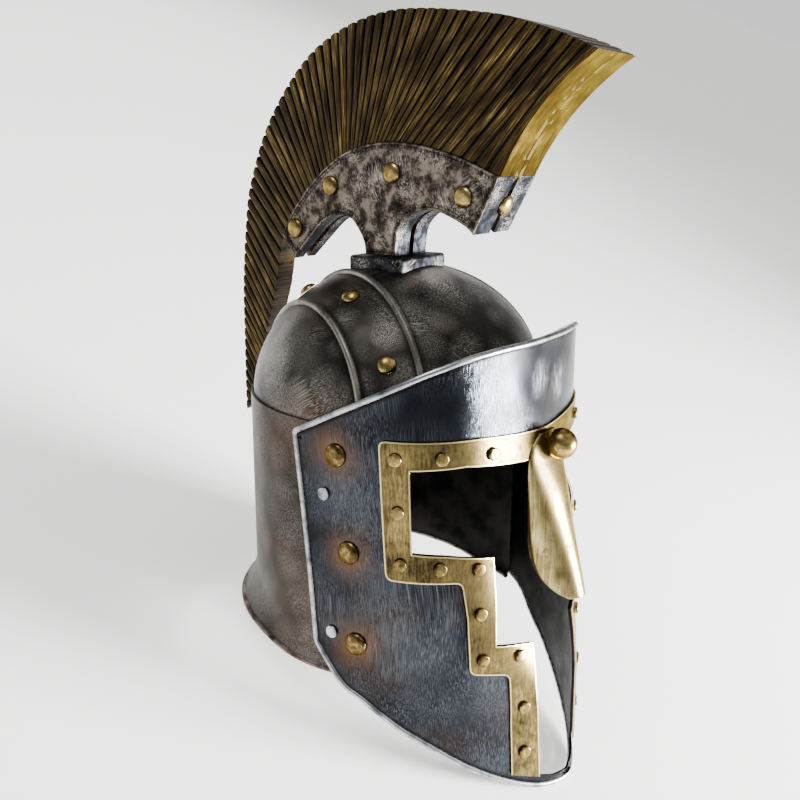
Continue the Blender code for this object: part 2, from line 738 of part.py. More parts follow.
def fan_positions():
    fine = [strand(i * (len(FAN_TABLE) - 1) / 400)[1] for i in range(401)]
    scale = (len(FAN_TABLE) - 1) / 400
    return [position * scale for position in even_positions(fine, 2 * FAN_GROOVES)]


def fan_section(position, side, groove, hollow):
    """Closed section of one fan half along a strand: tongue, root wall, side wall and outer wall."""
    root, edge = strand(position)
    along = (edge - root).normalized()
    length = (edge - root).length
    bow = FRONT_CURVE * max(1.0 - position * 1.6, 0.0)
    tongue = FAN_TONGUE if position <= HOLDER_STRANDS - 1 else 0.0
    middle = GAP / 2
    slot = SLOT_HALF - GAP

    def place(distance, across):
        share = min(max(distance / length, 0.0), 1.0)
        spot = root + along * distance
        spot += Vector((along.y, -along.x)) * bow * 4 * share * (1.0 - share)
        return Vector((side * across, spot.x, spot.y))

    def cheek(share, inner=False):
        distance = FAN_WALL + (length - 2 * FAN_WALL) * share if inner else length * share
        spot = root + along * distance
        half = crest_half(spot.x) - FAN_INSET - groove * (0.6 + 0.4 * share)
        if inner:
            half = half - FAN_WALL if hollow else middle + 1e-4
        return place(distance - groove * share, max(half, FAN_WALL + middle))

    return [
        place(-tongue - 1e-5, middle), place(-tongue - 1e-5, slot), place(0.0, slot),
        cheek(0.0), cheek(0.5), cheek(1.0), place(length - groove, middle),
        place(length - FAN_WALL - groove, middle), cheek(1.0, True), cheek(0.0, True), place(FAN_WALL, middle),
    ]


def build_fan_half(name, side, material):
    positions = fan_positions()
    rings = []
    last = len(positions) - 1
    for i, position in enumerate(positions):
        groove = FAN_GROOVE_DEPTH if i % 2 else 0.0
        rings.append(fan_section(position, side, groove, 1 < i < last - 3))
    bm = bmesh.new()
    loft(bm, rings)
    return make_object(name, bm, material, 25.0)


def holder_outline():
    """Side outline of the holder: along the fan's root, then back along the under side."""
    top = []
    steps = 14
    for i in range(steps + 1):
        root, edge = strand((HOLDER_STRANDS - 1) * i / steps)
        down = (root - edge).normalized()
        top.append(root + down * GAP)
    under = [Vector((corner.y * CREST_REACH, corner.z * CREST_RISE)) for corner in HOLDER_UNDERSIDE]
    return top + under[::-1]


def holder_pins():
    return [Vector((0.0, corner.y * CREST_REACH, corner.z * CREST_RISE)) for corner in HOLDER_RIVETS]


def build_holder_half(name, side, material):
    bm = bmesh.new()
    outline = holder_outline()
    inner = [bm.verts.new((side * SLOT_HALF, p.x, p.y)) for p in outline]
    outer = [bm.verts.new((side * crest_half(p.x), p.x, p.y)) for p in outline]
    bm.faces.new(inner)
    face = bm.faces.new(outer)
    count = len(outline)
    for i in range(count):
        j = (i + 1) % count
        bm.faces.new((inner[i], inner[j], outer[j], outer[i]))
    bmesh.ops.inset_region(bm, faces=[face], thickness=BORDER_WIDTH, use_even_offset=True)
    for vertex in face.verts:
        vertex.co.x -= side * BORDER_RELIEF
    item = make_object(name, bm, material, 30.0)
    for number, pin in enumerate(holder_pins(), 1):
        cutter_bm = turned_solid(
            [(CREST_PIN_RADIUS + PIN_CLEARANCE, -CREST_REACH), (CREST_PIN_RADIUS + PIN_CLEARANCE, CREST_REACH)], 8
        )
        across = Matrix.Rotation(math.radians(90.0), 4, "Y")
        bmesh.ops.transform(cutter_bm, verts=cutter_bm.verts, matrix=Matrix.Translation(pin) @ across)
        cutter = make_object(f"{name}_bore_{number}", cutter_bm, material)
        cutter.hide_render = True
        cutter.display_type = "WIRE"
        cut = item.modifiers.new(f"bore_{number}", "BOOLEAN")
        cut.object = cutter
        cut.operation = "DIFFERENCE"
        cut.solver = "EXACT"
    return item


def build_crest_rivets(material):
    """Pins through both holder halves with a domed head on each side."""
    for number, pin in enumerate(holder_pins(), 1):
        seat = crest_half(pin.y) - BORDER_RELIEF + GAP
        head = domed_profile(CREST_RIVET_RADIUS, CREST_RIVET_HEIGHT)
        left = [(CREST_PIN_RADIUS, 0.0), (CREST_PIN_RADIUS, seat)] + [(r, seat + z) for r, z in head]
        right = [(r, -z) for r, z in left[::-1]]
        bm = turned_solid(right[:-1] + left[1:], RIVET_SIDES)
        across = Matrix.Rotation(math.radians(90.0), 4, "Y")
        bmesh.ops.transform(bm, verts=bm.verts, matrix=Matrix.Translation(pin) @ across)
        for vertex in bm.verts:
            vertex.co.x -= math.copysign(1.0, vertex.co.x) * CREST_TAPER * (vertex.co.y - pin.y)
        make_object(f"crest_rivet_{number}", bm, material)


def build_front_rivet(material):
    """Rivet on the front end of the holder, over the slot between its halves."""
    outline = holder_outline()
    upper, lower = outline[0], outline[-1]
    middle = (upper + lower) / 2
    edge = (lower - upper).normalized()
    normal = Vector((0.0, edge.y, -edge.x))
    if normal.y > 0:
        normal = -normal
    seat = Vector((0.0, middle.x, middle.y))
    profile = domed_profile(CREST_RIVET_RADIUS, CREST_RIVET_HEIGHT)
    set_rivet("crest_front_rivet", profile, seat, normal, material)


def saddle_ring(share, height):
    """One rounded rectangle of the saddle, shrunk by a share; height None lies on the dome."""
    centre = (SADDLE_REAR - SADDLE_FRONT) / 2
    half_length = (SADDLE_REAR + SADDLE_FRONT) / 2
    half_width = crest_half(centre) + SADDLE_OVERHANG
    corners = []
    for corner_x, corner_y, first in ((1, 1, 0), (-1, 1, 90), (-1, -1, 180), (1, -1, 270)):
        for turn in (first, first + 45, first + 90):
            corners.append(Vector((
                corner_x * (half_width - SADDLE_ROUND) + SADDLE_ROUND * math.cos(math.radians(turn)),
                corner_y * (half_length - SADDLE_ROUND) + SADDLE_ROUND * math.sin(math.radians(turn)),
            )))
    ring = []
    for one, two in zip(corners, corners[1:] + corners[:1]):
        steps = SADDLE_STEPS if (two - one).length > 2 * SADDLE_ROUND else 1
        for k in range(steps):
            spot = one.lerp(two, k / steps)
            x = spot.x * share * crest_half(centre + spot.y) / crest_half(centre)
            y = centre + spot.y * share
            z = dome_drop(x, y, GAP) + GAP / 2 if height is None else height
            ring.append(Vector((x, y, z)))
    return ring


def build_saddle(material):
    """Saddle between the dome and the holder: curved below, flat with rounded edges above."""
    bm = bmesh.new()
    low = saddle_ring(1.0, None)
    lift = Vector((0.0, 0.0, 0.004))
    rings = [
        saddle_ring(0.12, None), saddle_ring(0.45, None), saddle_ring(0.75, None), low,
        [p + lift for p in low], saddle_ring(0.97, SADDLE_TOP - 0.0016), saddle_ring(0.89, SADDLE_TOP),
    ]
    loft(bm, rings)
    return make_object("crest_saddle", bm, material, 40.0)


# Standing pose

def stand(lean):
    """Leans the helmet back until chin wire and neck rim share one level, and centres it."""
    front = [p for p in edge_wire_path() if p.z < -VISOR_TOP - VISOR_HEIGHT / 2]
    back = [neck_rim_centre(NECK_TABLE[-1].angle * i / NECK_STEPS) for i in range(NECK_STEPS)]

    def difference(angle):
        turn = Euler((-angle, 0.0, 0.0)).to_matrix()
        return min((turn @ p).z for p in front) - min((turn @ p).z for p in back)

    low, high = 0.0, math.radians(60.0)
    for _ in range(50):
        middle = (low + high) / 2
        if difference(middle) < 0:
            low = middle
        else:
            high = middle
    lean.rotation_euler = (-low, 0.0, 0.0)
    bpy.context.view_layer.update()
    depsgraph = bpy.context.evaluated_depsgraph_get()
    corners = []
    for item in bpy.data.objects:
        if item.type == "EMPTY" or item.hide_render:
            continue
        shown = item.evaluated_get(depsgraph)
        mesh = shown.to_mesh()
        corners += [shown.matrix_world @ vertex.co for vertex in mesh.vertices]
        shown.to_mesh_clear()
    near = min(p.y for p in corners)
    far = max(p.y for p in corners)
    lean.location = (0.0, -(near + far) / 2, -min(p.z for p in corners))


def main():
    clear_scene()
    lean = bpy.data.objects.new("lean", None)
    bpy.context.collection.objects.link(lean)

    dark_steel = make_material("antiqued_steel", (0.13, 0.12, 0.11), 0.42, 1.0)
    visor_steel = make_material("brushed_visor_steel", (0.24, 0.25, 0.28), 0.35, 1.0)
    bright_steel = make_material("bright_edge_steel", (0.55, 0.55, 0.56), 0.3, 1.0)
    brass = make_material("antique_brass", (0.33, 0.25, 0.11), 0.35, 1.0)
    dark_brass = make_material("patinated_brass", (0.16, 0.11, 0.045), 0.45, 1.0)
    cast_silver = make_material("antiqued_cast_metal", (0.22, 0.19, 0.17), 0.5, 1.0)

    build_dome(dark_steel)
    build_front_rib(dark_steel)
    build_rear_rib("crown_rib_rear_right", -1, dark_steel)
    build_rear_rib("crown_rib_rear_left", 1, dark_steel)
    build_neck_guard(dark_steel)
    build_visor(visor_steel)
    build_edge_wire(bright_steel)
    build_trim(brass)
    build_nose_guard(brass)
    build_ball(brass)

    trim_lift = TRIM_GAP + TRIM_SHEET
    trim_head = flat_profile(TRIM_RIVET_RADIUS, TRIM_RIVET_HEIGHT)
    visor_head = domed_profile(VISOR_RIVET_RADIUS, VISOR_RIVET_HEIGHT)
    steel_head = flat_profile(STEEL_RIVET_RADIUS, STEEL_RIVET_HEIGHT)
    visor_rivets("trim_rivet", TRIM_RIVETS, trim_head, trim_lift, brass)
    visor_rivets("visor_rivet", VISOR_RIVETS, visor_head, 0.0, brass)
    visor_rivets("steel_rivet", STEEL_RIVETS, steel_head, 0.0, bright_steel)
    band_rivets(brass)

    build_saddle(cast_silver)
    build_holder_half("crest_holder_right", -1, cast_silver)
    build_holder_half("crest_holder_left", 1, cast_silver)
    build_fan_half("crest_fan_right", -1, dark_brass)
    build_fan_half("crest_fan_left", 1, dark_brass)
    build_crest_rivets(brass)
    build_front_rivet(brass)
    stand(lean)


main()
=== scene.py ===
# Gladiator helmet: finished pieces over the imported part, with their metals, the light and the camera
import bpy
import bisect
import math
import random
from mathutils import Matrix, Vector


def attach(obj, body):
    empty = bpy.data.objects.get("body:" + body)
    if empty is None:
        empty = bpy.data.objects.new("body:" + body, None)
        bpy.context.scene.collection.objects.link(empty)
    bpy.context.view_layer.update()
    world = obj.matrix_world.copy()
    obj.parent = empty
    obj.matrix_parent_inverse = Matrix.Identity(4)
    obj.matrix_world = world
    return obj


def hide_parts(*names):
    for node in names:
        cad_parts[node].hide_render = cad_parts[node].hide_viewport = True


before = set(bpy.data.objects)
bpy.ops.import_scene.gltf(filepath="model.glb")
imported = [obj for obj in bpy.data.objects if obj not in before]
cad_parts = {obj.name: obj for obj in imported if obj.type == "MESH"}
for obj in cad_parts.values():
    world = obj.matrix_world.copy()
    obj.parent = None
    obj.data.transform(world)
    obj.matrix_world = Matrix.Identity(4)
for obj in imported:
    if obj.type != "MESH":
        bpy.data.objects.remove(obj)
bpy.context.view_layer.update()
random.seed(4)
print("frame loaded:", len(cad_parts), "nodes")

# pieces are shaped upright with the top of the dome at the origin, then leaned as the helmet rests
leanAngle = math.radians(24.549)
restPlace = Matrix.Translation((0, .06419, .24975)) @ Matrix.Rotation(-leanAngle, 4, "X")
sheet = .0015
gap = .0003
sides = ((-1, "right"), (1, "left"))


# small helpers

def deselect():
    if bpy.context.mode != "OBJECT":
        bpy.ops.object.mode_set(mode="OBJECT")
    bpy.ops.object.select_all(action="DESELECT")


def activate(piece):
    deselect()
    piece.select_set(True)
    bpy.context.view_layer.objects.active = piece


def pickAll():
    bpy.ops.mesh.select_all(action="SELECT")


def edit(piece):
    activate(piece)
    bpy.ops.object.mode_set(mode="EDIT")
    pickAll()


def leaveEdit():
    bpy.ops.object.mode_set(mode="OBJECT")


def added(name):  # the object the last operator made
    piece = bpy.context.active_object
    piece.name = name
    return piece


def applied(piece, kind, **settings):
    activate(piece)
    modifier = piece.modifiers.new(kind.lower(), kind)
    for key, value in settings.items():
        setattr(modifier, key, value)
    bpy.ops.object.modifier_apply(modifier=modifier.name)


def softened(piece, width):  # edges sharper than 50 degrees taken off
    applied(piece, "BEVEL", width=width, segments=2, limit_method="ANGLE", angle_limit=math.radians(50))


def pickFaces(piece, test):  # face select mode, only the faces that pass the test
    leaveEdit()
    for part in (piece.data.vertices, piece.data.edges, piece.data.polygons):
        part.foreach_set("select", [False] * len(part))
    for face in piece.data.polygons:
        face.select = test(face)
    bpy.ops.object.mode_set(mode="EDIT")
    bpy.ops.mesh.select_mode(type="FACE")


def writeMarks(piece, name, values):  # one number a point, read by the materials
    marks = piece.data.attributes.get(name) or piece.data.attributes.new(name, "FLOAT", "POINT")
    marks.data.foreach_set("value", values)


def finished(piece, materials, nodes=(), angle=35):
    deselect()
    piece.data.transform(restPlace @ piece.matrix_world)
    piece.matrix_world = Matrix.Identity(4)
    if not piece.data.materials:
        for material in materials:
            piece.data.materials.append(material)
    activate(piece)
    bpy.ops.object.shade_smooth_by_angle(angle=math.radians(angle))
    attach(piece, "root")
    if nodes:
        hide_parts(*nodes)


def outwards(piece):
    edit(piece)
    bpy.ops.mesh.remove_doubles(threshold=1e-5)
    bpy.ops.mesh.normals_make_consistent(inside=False)
    leaveEdit()


def laidRing(name, places, fill="NGON"):  # one face, or a bare ring of edges, through places
    bpy.ops.mesh.primitive_circle_add(vertices=len(places), radius=1, fill_type=fill)
    piece = added(name)
    for point, place in zip(piece.data.vertices, places):
        point.co = place
    return piece


def thickened(piece, thickness, materials):  # inward; the last material goes inside
    for material in materials:
        piece.data.materials.append(material)
    applied(piece, "SOLIDIFY", thickness=thickness, offset=-1,
            material_offset=len(materials) - 1, material_offset_rim=0)


def between(one, two, share):
    return [a + (b - a) * share for a, b in zip(one, two)]


def curvedThrough(points, steps=6, breaks=()):  # smooth line through points, with corners kept at breaks
    line = []
    for i in range(len(points) - 1):
        one, two = points[i], points[i + 1]
        before = points[i - 1] if i > 0 and i not in breaks else one
        after = points[i + 2] if i + 2 < len(points) and i + 1 not in breaks else two
        for k in range(steps):
            f = k / steps
            line.append(tuple(
                .5 * (2 * b + (c - a) * f + (2 * a - 5 * b + 4 * c - d) * f * f
                      + (3 * b - a - 3 * c + d) * f ** 3)
                for a, b, c, d in zip(before, one, two, after)))
    return line + [tuple(points[-1])]


def lineDistance(x, y, line):
    best = 9.0
    for (ax, ay), (bx, by) in zip(line, line[1:]):
        dx, dy = bx - ax, by - ay
        share = ((x - ax) * dx + (y - ay) * dy) / max(dx * dx + dy * dy, 1e-12)
        share = min(max(share, 0.0), 1.0)
        best = min(best, math.hypot(x - ax - dx * share, y - ay - dy * share))
    return best


def runningLengths(line):
    lengths = [0.0]
    for one, two in zip(line, line[1:]):
        lengths.append(lengths[-1] + math.dist(one, two))
    return lengths


def placeIn(lengths, target):  # the stretch that holds target, by its first point, and the share along it
    i = min(max(bisect.bisect_right(lengths, target), 1), len(lengths) - 1)
    return i - 1, (target - lengths[i - 1]) / (lengths[i] - lengths[i - 1])


def evenly(line, pitch):  # points a pitch apart along a line of 2D points
    lengths = runningLengths(line)
    count = max(round(lengths[-1] / pitch), 1)
    points = []
    for n in range(count + 1):
        i, f = placeIn(lengths, lengths[-1] * n / count)
        points.append(tuple(between(line[i], line[i + 1], f)))
    return points


# materials

def linear(code):  # sRGB hex to linear
    parts = [int(code[i:i + 2], 16) / 255 for i in (1, 3, 5)]
    return tuple(c / 12.92 if c <= .04045 else ((c + .055) / 1.055) ** 2.4 for c in parts) + (1.0,)


def addNode(tree, kind, inputs=None, stops=None, **settings):
    node = tree.nodes.new("ShaderNode" + kind)
    for key, value in settings.items():
        setattr(node, key, value)
    for socket, value in (inputs or {}).items():
        if isinstance(value, bpy.types.NodeSocket):
            tree.links.new(value, node.inputs[socket])
        elif isinstance(value, bpy.types.Node):
            tree.links.new(value.outputs[0], node.inputs[socket])
        else:
            node.inputs[socket].default_value = value
    if stops:
        while len(node.color_ramp.elements) < len(stops):
            node.color_ramp.elements.new(1.0)
        for element, (place, colour) in zip(node.color_ramp.elements, stops):
            element.position = place
            element.color = linear(colour) if isinstance(colour, str) else (colour, colour, colour, 1)
    return node


def noise(tree, place, scale, detail, roughness=.5):
    return addNode(tree, "TexNoise", {"Vector": place, "Scale": scale, "Detail": detail,
                                      "Roughness": roughness})


def worked(tree, operation, *values):
    return addNode(tree, "Math", dict(enumerate(values)), operation=operation)


def worked3d(tree, operation, *values):
    return addNode(tree, "VectorMath", dict(enumerate(values)), operation=operation)


def ranged(tree, value, low, high, start, end):  # low to high becomes start to end
    return addNode(tree, "MapRange", {"Value": value, 1: low, 2: high, 3: start, 4: end})


def blended(tree, amount, under, over):
    return addNode(tree, "MixRGB", {"Fac": amount, "Color1": under, "Color2": linear(over)})


def marked(tree, name):  # what writeMarks stored
    return addNode(tree, "Attribute", attribute_name=name).outputs["Fac"]


def startMaterial(name, roughness, metallic):
    material = bpy.data.materials.new(name)
    material.use_nodes = True
    tree = material.node_tree
    shader = tree.nodes["Principled BSDF"]
    shader.inputs["Roughness"].default_value = roughness
    shader.inputs["Metallic"].default_value = metallic
    return material, tree, shader


def joined(tree, shader, colour, roughness=None, height=None, strength=.5, depth=.0001):
    tree.links.new(colour.outputs[0], shader.inputs["Base Color"])
    if roughness:
        tree.links.new(roughness.outputs[0], shader.inputs["Roughness"])
    if height:
        bump = addNode(tree, "Bump", {"Strength": strength, "Distance": depth, "Height": height})
        tree.links.new(bump.outputs[0], shader.inputs["Normal"])


def uprightPlace(tree):  # Object coordinates turned back to the upright head, in metres
    back = restPlace.inverted()
    return addNode(tree, "Mapping", {"Vector": addNode(tree, "TexCoord").outputs["Object"],
                                     "Location": tuple(back.translation), "Rotation": (leanAngle, 0, 0)})


# short hand strokes: each dab is a cell that fades at its rim, with fine lines turned its own way
def strokes(tree, place, dab, spacing, stretch, swing, shift):
    moved = worked3d(tree, "ADD", place, (shift, shift * 1.7, -shift))
    wobble = noise(tree, moved, .6 / dab, 1.0).outputs["Color"]
    bent = worked3d(tree, "MULTIPLY_ADD", wobble, (dab * .3,) * 3, moved)
    cells = addNode(tree, "TexVoronoi", {"Vector": bent, "Scale": 1 / dab})
    spin = worked3d(tree, "MULTIPLY_ADD", cells.outputs["Color"], (2 * swing,) * 3, (-swing,) * 3)
    turned = addNode(tree, "VectorRotate", {"Vector": bent, "Rotation": spin}, rotation_type="EULER_XYZ")
    fine = worked3d(tree, "MULTIPLY", turned, (1 / spacing, 1 / spacing, 1 / spacing / stretch))
    sharp = ranged(tree, noise(tree, fine, 1.0, 2.0, .55), .48, .78, 0.0, 1.0)
    fade = ranged(tree, cells.outputs["Distance"], .25, .62, 1.0, 0.0)
    return worked(tree, "MULTIPLY", sharp, fade)


# sheet steel blackened, then rubbed back by hand with wire wool, which leaves bright strokes over
# a dark skin: dab and spacing in metres, stretch of a line, swing in radians, wipe how far it is rubbed
steelLooks = {
    "dome": {"dark": "#121110", "mid": "#2e2b28", "light": "#a8a39a", "warm": "#4b3527", "dab": .030,
             "spacing": .00045, "stretch": 60, "swing": 3.1, "rough": .36, "metal": .9, "wipe": .85},
    "neck": {"dark": "#11100f", "mid": "#2b2622", "light": "#8f877c", "warm": "#452f22", "dab": .034,
             "spacing": .00045, "stretch": 60, "swing": 3.1, "rough": .38, "metal": .9, "wipe": .75},
    "visor": {"dark": "#0c0d10", "mid": "#23262b", "light": "#72777f", "warm": "#2c221b", "dab": .050,
              "spacing": .0004, "stretch": 70, "swing": .12, "rough": .20, "metal": .97, "wipe": .5},
}


def rubbedSteel(name, look, marks=None):
    material, tree, shader = startMaterial(name, look["rough"], look["metal"])
    place = uprightPlace(tree)
    cloud = noise(tree, place, 28.0, 4.0, .6)
    skin = addNode(tree, "ValToRGB", {"Fac": cloud}, stops=[(.36, look["dark"]), (.66, look["mid"])])
    warmth = ranged(tree, noise(tree, place, 17.0, 3.0), .52, .72, 0.0, .65)
    base = blended(tree, warmth, skin, look["warm"])
    rubbed = None
    for size, finer, shift in ((1, 1, 0), (.7, .8, .31), (1.5, 1.3, .57)):
        layer = strokes(tree, place, look["dab"] * size, look["spacing"] * finer, look["stretch"],
                        look["swing"], shift)
        rubbed = worked(tree, "MAXIMUM", rubbed, layer) if rubbed else layer
    colour = blended(tree, worked(tree, "MULTIPLY", rubbed, look["wipe"]), base, look["light"])
    if marks:
        colour = marks(tree, place, colour)
    roughness = ranged(tree, cloud, .3, .7, look["rough"] + .12, look["rough"] - .06)
    joined(tree, shader, colour, roughness, rubbed, .5, .00012)
    return material


def bandSoot(tree, place, colour):  # blackening left in the corners beside the dome's beads
    parts = addNode(tree, "SeparateXYZ", {0: place})
    along = worked(tree, "MULTIPLY", parts.outputs[1], math.sin(bead["splay"]))
    across = worked(tree, "ABSOLUTE", parts.outputs[0])
    band = worked(tree, "MULTIPLY_ADD", across, math.cos(bead["splay"]), along)
    soot = None
    for offset in (bead["front"], bead["rear"]):
        away = worked(tree, "ABSOLUTE", worked(tree, "SUBTRACT", band, offset))
        near = ranged(tree, away, .0026, .0052, .85, 0.0)
        soot = worked(tree, "MAXIMUM", soot, near) if soot else near
    return blended(tree, soot, colour, "#141210")


def plateMarks(tree, place, colour):  # dark seam inside the wired edge, brown haze round the domed rivets
    broken = worked(tree, "MULTIPLY", marked(tree, "rivetHaze"), noise(tree, place, 70.0, 4.0))
    dark = ranged(tree, marked(tree, "edgeDistance"), .0004, .0022, .9, 0.0)
    return blended(tree, dark, blended(tree, broken, colour, "#6b4a2c"), "#121214")


# rolled brass, browned and wiped: the brown stays in the brush lines, a darker band runs just inside the rims,
# and the rims are worn bright and carry a painted highlight; direction holds the lines to the metre along each
# axis
def antiqueBrass(name, dark, mid, light, rough, direction):
    material, tree, shader = startMaterial(name, rough, .95)
    shader.inputs["Specular Tint"].default_value = linear("#cdc09c")
    place = uprightPlace(tree)
    lines = noise(tree, worked3d(tree, "MULTIPLY", place, direction), 1.0, 3.0, .6)
    cloud = worked(tree, "MULTIPLY", noise(tree, place, 45.0, 4.0, .62), .55)
    total = worked(tree, "MULTIPLY_ADD", lines, .45, cloud)
    colour = addNode(tree, "ValToRGB", {"Fac": total}, stops=[(.36, dark), (.50, mid), (.66, light)])
    stain = ranged(tree, noise(tree, place, 85.0, 5.0, .7), .60, .72, 0.0, .7)
    stained = blended(tree, stain, colour, "#241c10")
    edge = marked(tree, "edgeDistance")
    darker = blended(tree, ranged(tree, edge, .0010, .0028, .45, 0.0), stained, "#3a2f1a")
    # painted highlight along the rims, over brass worn bright there
    wornRimHighlight = blended(tree, ranged(tree, edge, .0004, .0011, .8, 0.0), darker, "#d8c48e")
    joined(tree, shader, wornRimHighlight, ranged(tree, total, .3, .7, rough + .12, rough - .05), lines, .4, .0001)
    return material


# brassed casting, blackened all over and wiped, so that only the strands' backs show; the pattern runs
# with the strands, across in strand numbers and along in metres
def grooveBrass(name):
    material, tree, shader = startMaterial(name, .38, .95)
    strand = addNode(tree, "UVMap", uv_map="strandMap")
    hair = noise(tree, worked3d(tree, "MULTIPLY", strand, (9.0, 45.0, 1.0)), 1.0, 3.0, .6)
    patch = noise(tree, worked3d(tree, "MULTIPLY", strand, (.35, 22.0, 1.0)), 1.0, 4.0, .6)
    both = worked(tree, "MULTIPLY_ADD", patch, .4, worked(tree, "MULTIPLY", hair, .6))
    colour = addNode(tree, "ValToRGB", {"Fac": both},
                     stops=[(.38, "#0b0805"), (.48, "#2c2211"), (.57, "#4e3e1e"), (.70, "#a48d50")])
    inked = blended(tree, ranged(tree, marked(tree, "groove"), .05, .40, 0.0, 1.0), colour, "#070605")
    joined(tree, shader, inked, ranged(tree, both, .35, .7, .55, .28), both, .6, .0003)
    return material


# sand-cast aluminium, blackened and wiped, pitted at about a millimetre
def crestCasting(name, dark, mid, light):
    material, tree, shader = startMaterial(name, .42, .85)
    shader.inputs["Specular Tint"].default_value = linear("#8c8e94")
    place = uprightPlace(tree)
    pits = noise(tree, place, 120.0, 5.0, .7)
    skin = addNode(tree, "ValToRGB", {"Fac": pits}, stops=[(.36, dark), (.48, mid), (.60, light)])
    rubbed = worked(tree, "MULTIPLY", strokes(tree, place, .017, .0009, 10, 1.2, .11), .65)
    sooty = blended(tree, marked(tree, "soot"), blended(tree, rubbed, skin, "#c9c0b4"), "#0f0d0b")
    joined(tree, shader, sooty, None, pits, .6, .0003)
    return material


def plainMetal(name, colour, rough, speck, dark):  # one colour with darker clouds
    material, tree, shader = startMaterial(name, rough, 1.0)
    cloud = noise(tree, uprightPlace(tree), speck, 4.0, .6)
    tint = addNode(tree, "ValToRGB", {"Fac": cloud}, stops=[(.36, dark), (.56, colour)])
    joined(tree, shader, tint, ranged(tree, cloud, .3, .7, rough + .15, rough))
    return material


# sizes of the dome and its beads, which the soot beside the beads follows too; a bead's foot is in
# degrees above the dome's rim
dome = {"halfWidth": .103, "halfLength": .0946, "rise": .0836, "skirt": .021, "segments": 96, "rings": 56}
bead = {"splay": math.radians(27), "front": .0345, "rear": .0684, "radius": .0024, "steps": 90, "foot": 8}

# inside faces: blackened steel, never rubbed, so dull
blackInside = plainMetal("Blackened steel inside", "#1d1c1b", .6, 60, "#0d0c0c")
# dome and neck guard: blackened steel rubbed back in all directions
domeSteel = rubbedSteel("Hand-rubbed blackened steel", steelLooks["dome"], bandSoot)
neckSteel = rubbedSteel("Hand-rubbed steel neck guard", steelLooks["neck"])
# beads: proud of the dome, so rubbed nearly bare
beadSteel = rubbedSteel("Rubbed steel bead", dict(steelLooks["dome"], dark="#3a3734", mid="#77736c", rough=.34))
# visor: blued steel brushed up and down, smooth enough to mirror a window
visorSteel = rubbedSteel("Brushed blued steel", steelLooks["visor"], plateMarks)
# wire and small rivets: bare polished steel; neck rim: rolled steel with soot left in it
wireSteel = plainMetal("Polished steel wire", "#a9aaae", .22, 90, "#55565a")
rimSteel = plainMetal("Rolled steel rim", "#6d6059", .38, 110, "#241d1a")
# trim, nose guard and rivets: brass antiqued brown and wiped, least on the nose, most on the visor's rivets
trimBrass = antiqueBrass("Wiped brass strip", "#2b2413", "#5f5232", "#937f4d", .20, (160, 900, 160))
noseBrass = antiqueBrass("Wiped brass sheet", "#4f4326", "#8f7d50", "#c9b784", .20, (900, 900, 30))
rivetBrass = antiqueBrass("Wiped brass rivet", "#3a2e18", "#7d693d", "#b59f68", .22, (300, 300, 300))
brownBrass = antiqueBrass("Browned brass rivet", "#1f170d", "#584729", "#9c8654", .24, (300, 300, 300))
# fan: a casting with a brass skin, black left in its grooves, its front end filed bare along its length
fanBrass = grooveBrass("Blackened cast brass")
endBrass = antiqueBrass("Bare cast brass end", "#191409", "#4a3e22", "#8f7d50", .14, (900, 60, 60))
# holder: wiped on its faces; its walls and the saddle blackened, with painted shade darkening their colour
# further
castGrey = crestCasting("Antiqued cast aluminium", "#12100d", "#342d28", "#6f655b")
castBlackAndShade = crestCasting("Blackened cast aluminium with painted shade", "#060607", "#131418", "#2e3137")
print("materials made")


# skull dome and its bands

def domeDrop(x, y, grow=0.0):  # height of the dome, or of a shell grown from it
    share = 1 - (x / (dome["halfWidth"] + grow)) ** 2 - (y / (dome["halfLength"] + grow)) ** 2
    return -dome["rise"] + (dome["rise"] + grow) * math.sqrt(max(share, 0))


def domeNormal(spot):
    return Vector((spot.x / dome["halfWidth"] ** 2, spot.y / dome["halfLength"] ** 2,
                   (spot.z + dome["rise"]) / dome["rise"] ** 2)).normalized()


def makeDome():
    bpy.ops.mesh.primitive_uv_sphere_add(segments=dome["segments"], ring_count=dome["rings"], radius=1,
                                         location=(0, 0, -dome["rise"]))
    piece = added("skullDome")
    edit(piece)
    bpy.ops.transform.resize(value=(dome["halfWidth"], dome["halfLength"], dome["rise"]))
    bpy.ops.mesh.bisect(plane_co=(0, 0, -dome["rise"]), plane_no=(0, 0, 1), clear_inner=True)
    pickAll()
    bpy.ops.mesh.region_to_loop()
    bpy.ops.mesh.extrude_region_move(TRANSFORM_OT_translate={"value": (0, 0, -dome["skirt"])})
    outwards(piece)
    thickened(piece, sheet, [domeSteel, blackInside])
    finished(piece, [], ["skull_dome"], 60)


def beadPoint(offset, turn, side):  # where a band's upright plane meets the dome
    across, along = math.cos(bead["splay"]), math.sin(bead["splay"])
    reach = math.hypot(across * dome["halfWidth"], along * dome["halfLength"])
    foot = offset / reach
    half = math.sqrt(1 - foot * foot)
    main = (-across * dome["halfWidth"] / reach, along * dome["halfLength"] / reach)
    u = foot * main[0] - half * math.cos(turn) * main[1]
    v = foot * main[1] + half * math.cos(turn) * main[0]
    return Vector((-side * u * dome["halfWidth"], v * dome["halfLength"],
                   -dome["rise"] + half * math.sin(turn) * dome["rise"]))


def makeRod(name, path, radius, closed):  # a ring of points turned to a round bar
    piece = laidRing(name, path, "NOTHING")
    if not closed:
        edit(piece)
        bpy.ops.mesh.select_mode(type="EDGE")
        bpy.ops.mesh.select_all(action="DESELECT")
        leaveEdit()
        for line in piece.data.edges:
            line.select = set(line.vertices) == {0, len(path) - 1}
        bpy.ops.object.mode_set(mode="EDIT")
        bpy.ops.mesh.delete(type="EDGE_FACE")
        leaveEdit()
    activate(piece)
    bpy.ops.object.convert(target="CURVE")
    piece.data.bevel_depth = radius
    piece.data.bevel_resolution = 4
    piece.data.use_fill_caps = True
    bpy.ops.object.convert(target="MESH")
    outwards(piece)
    return piece


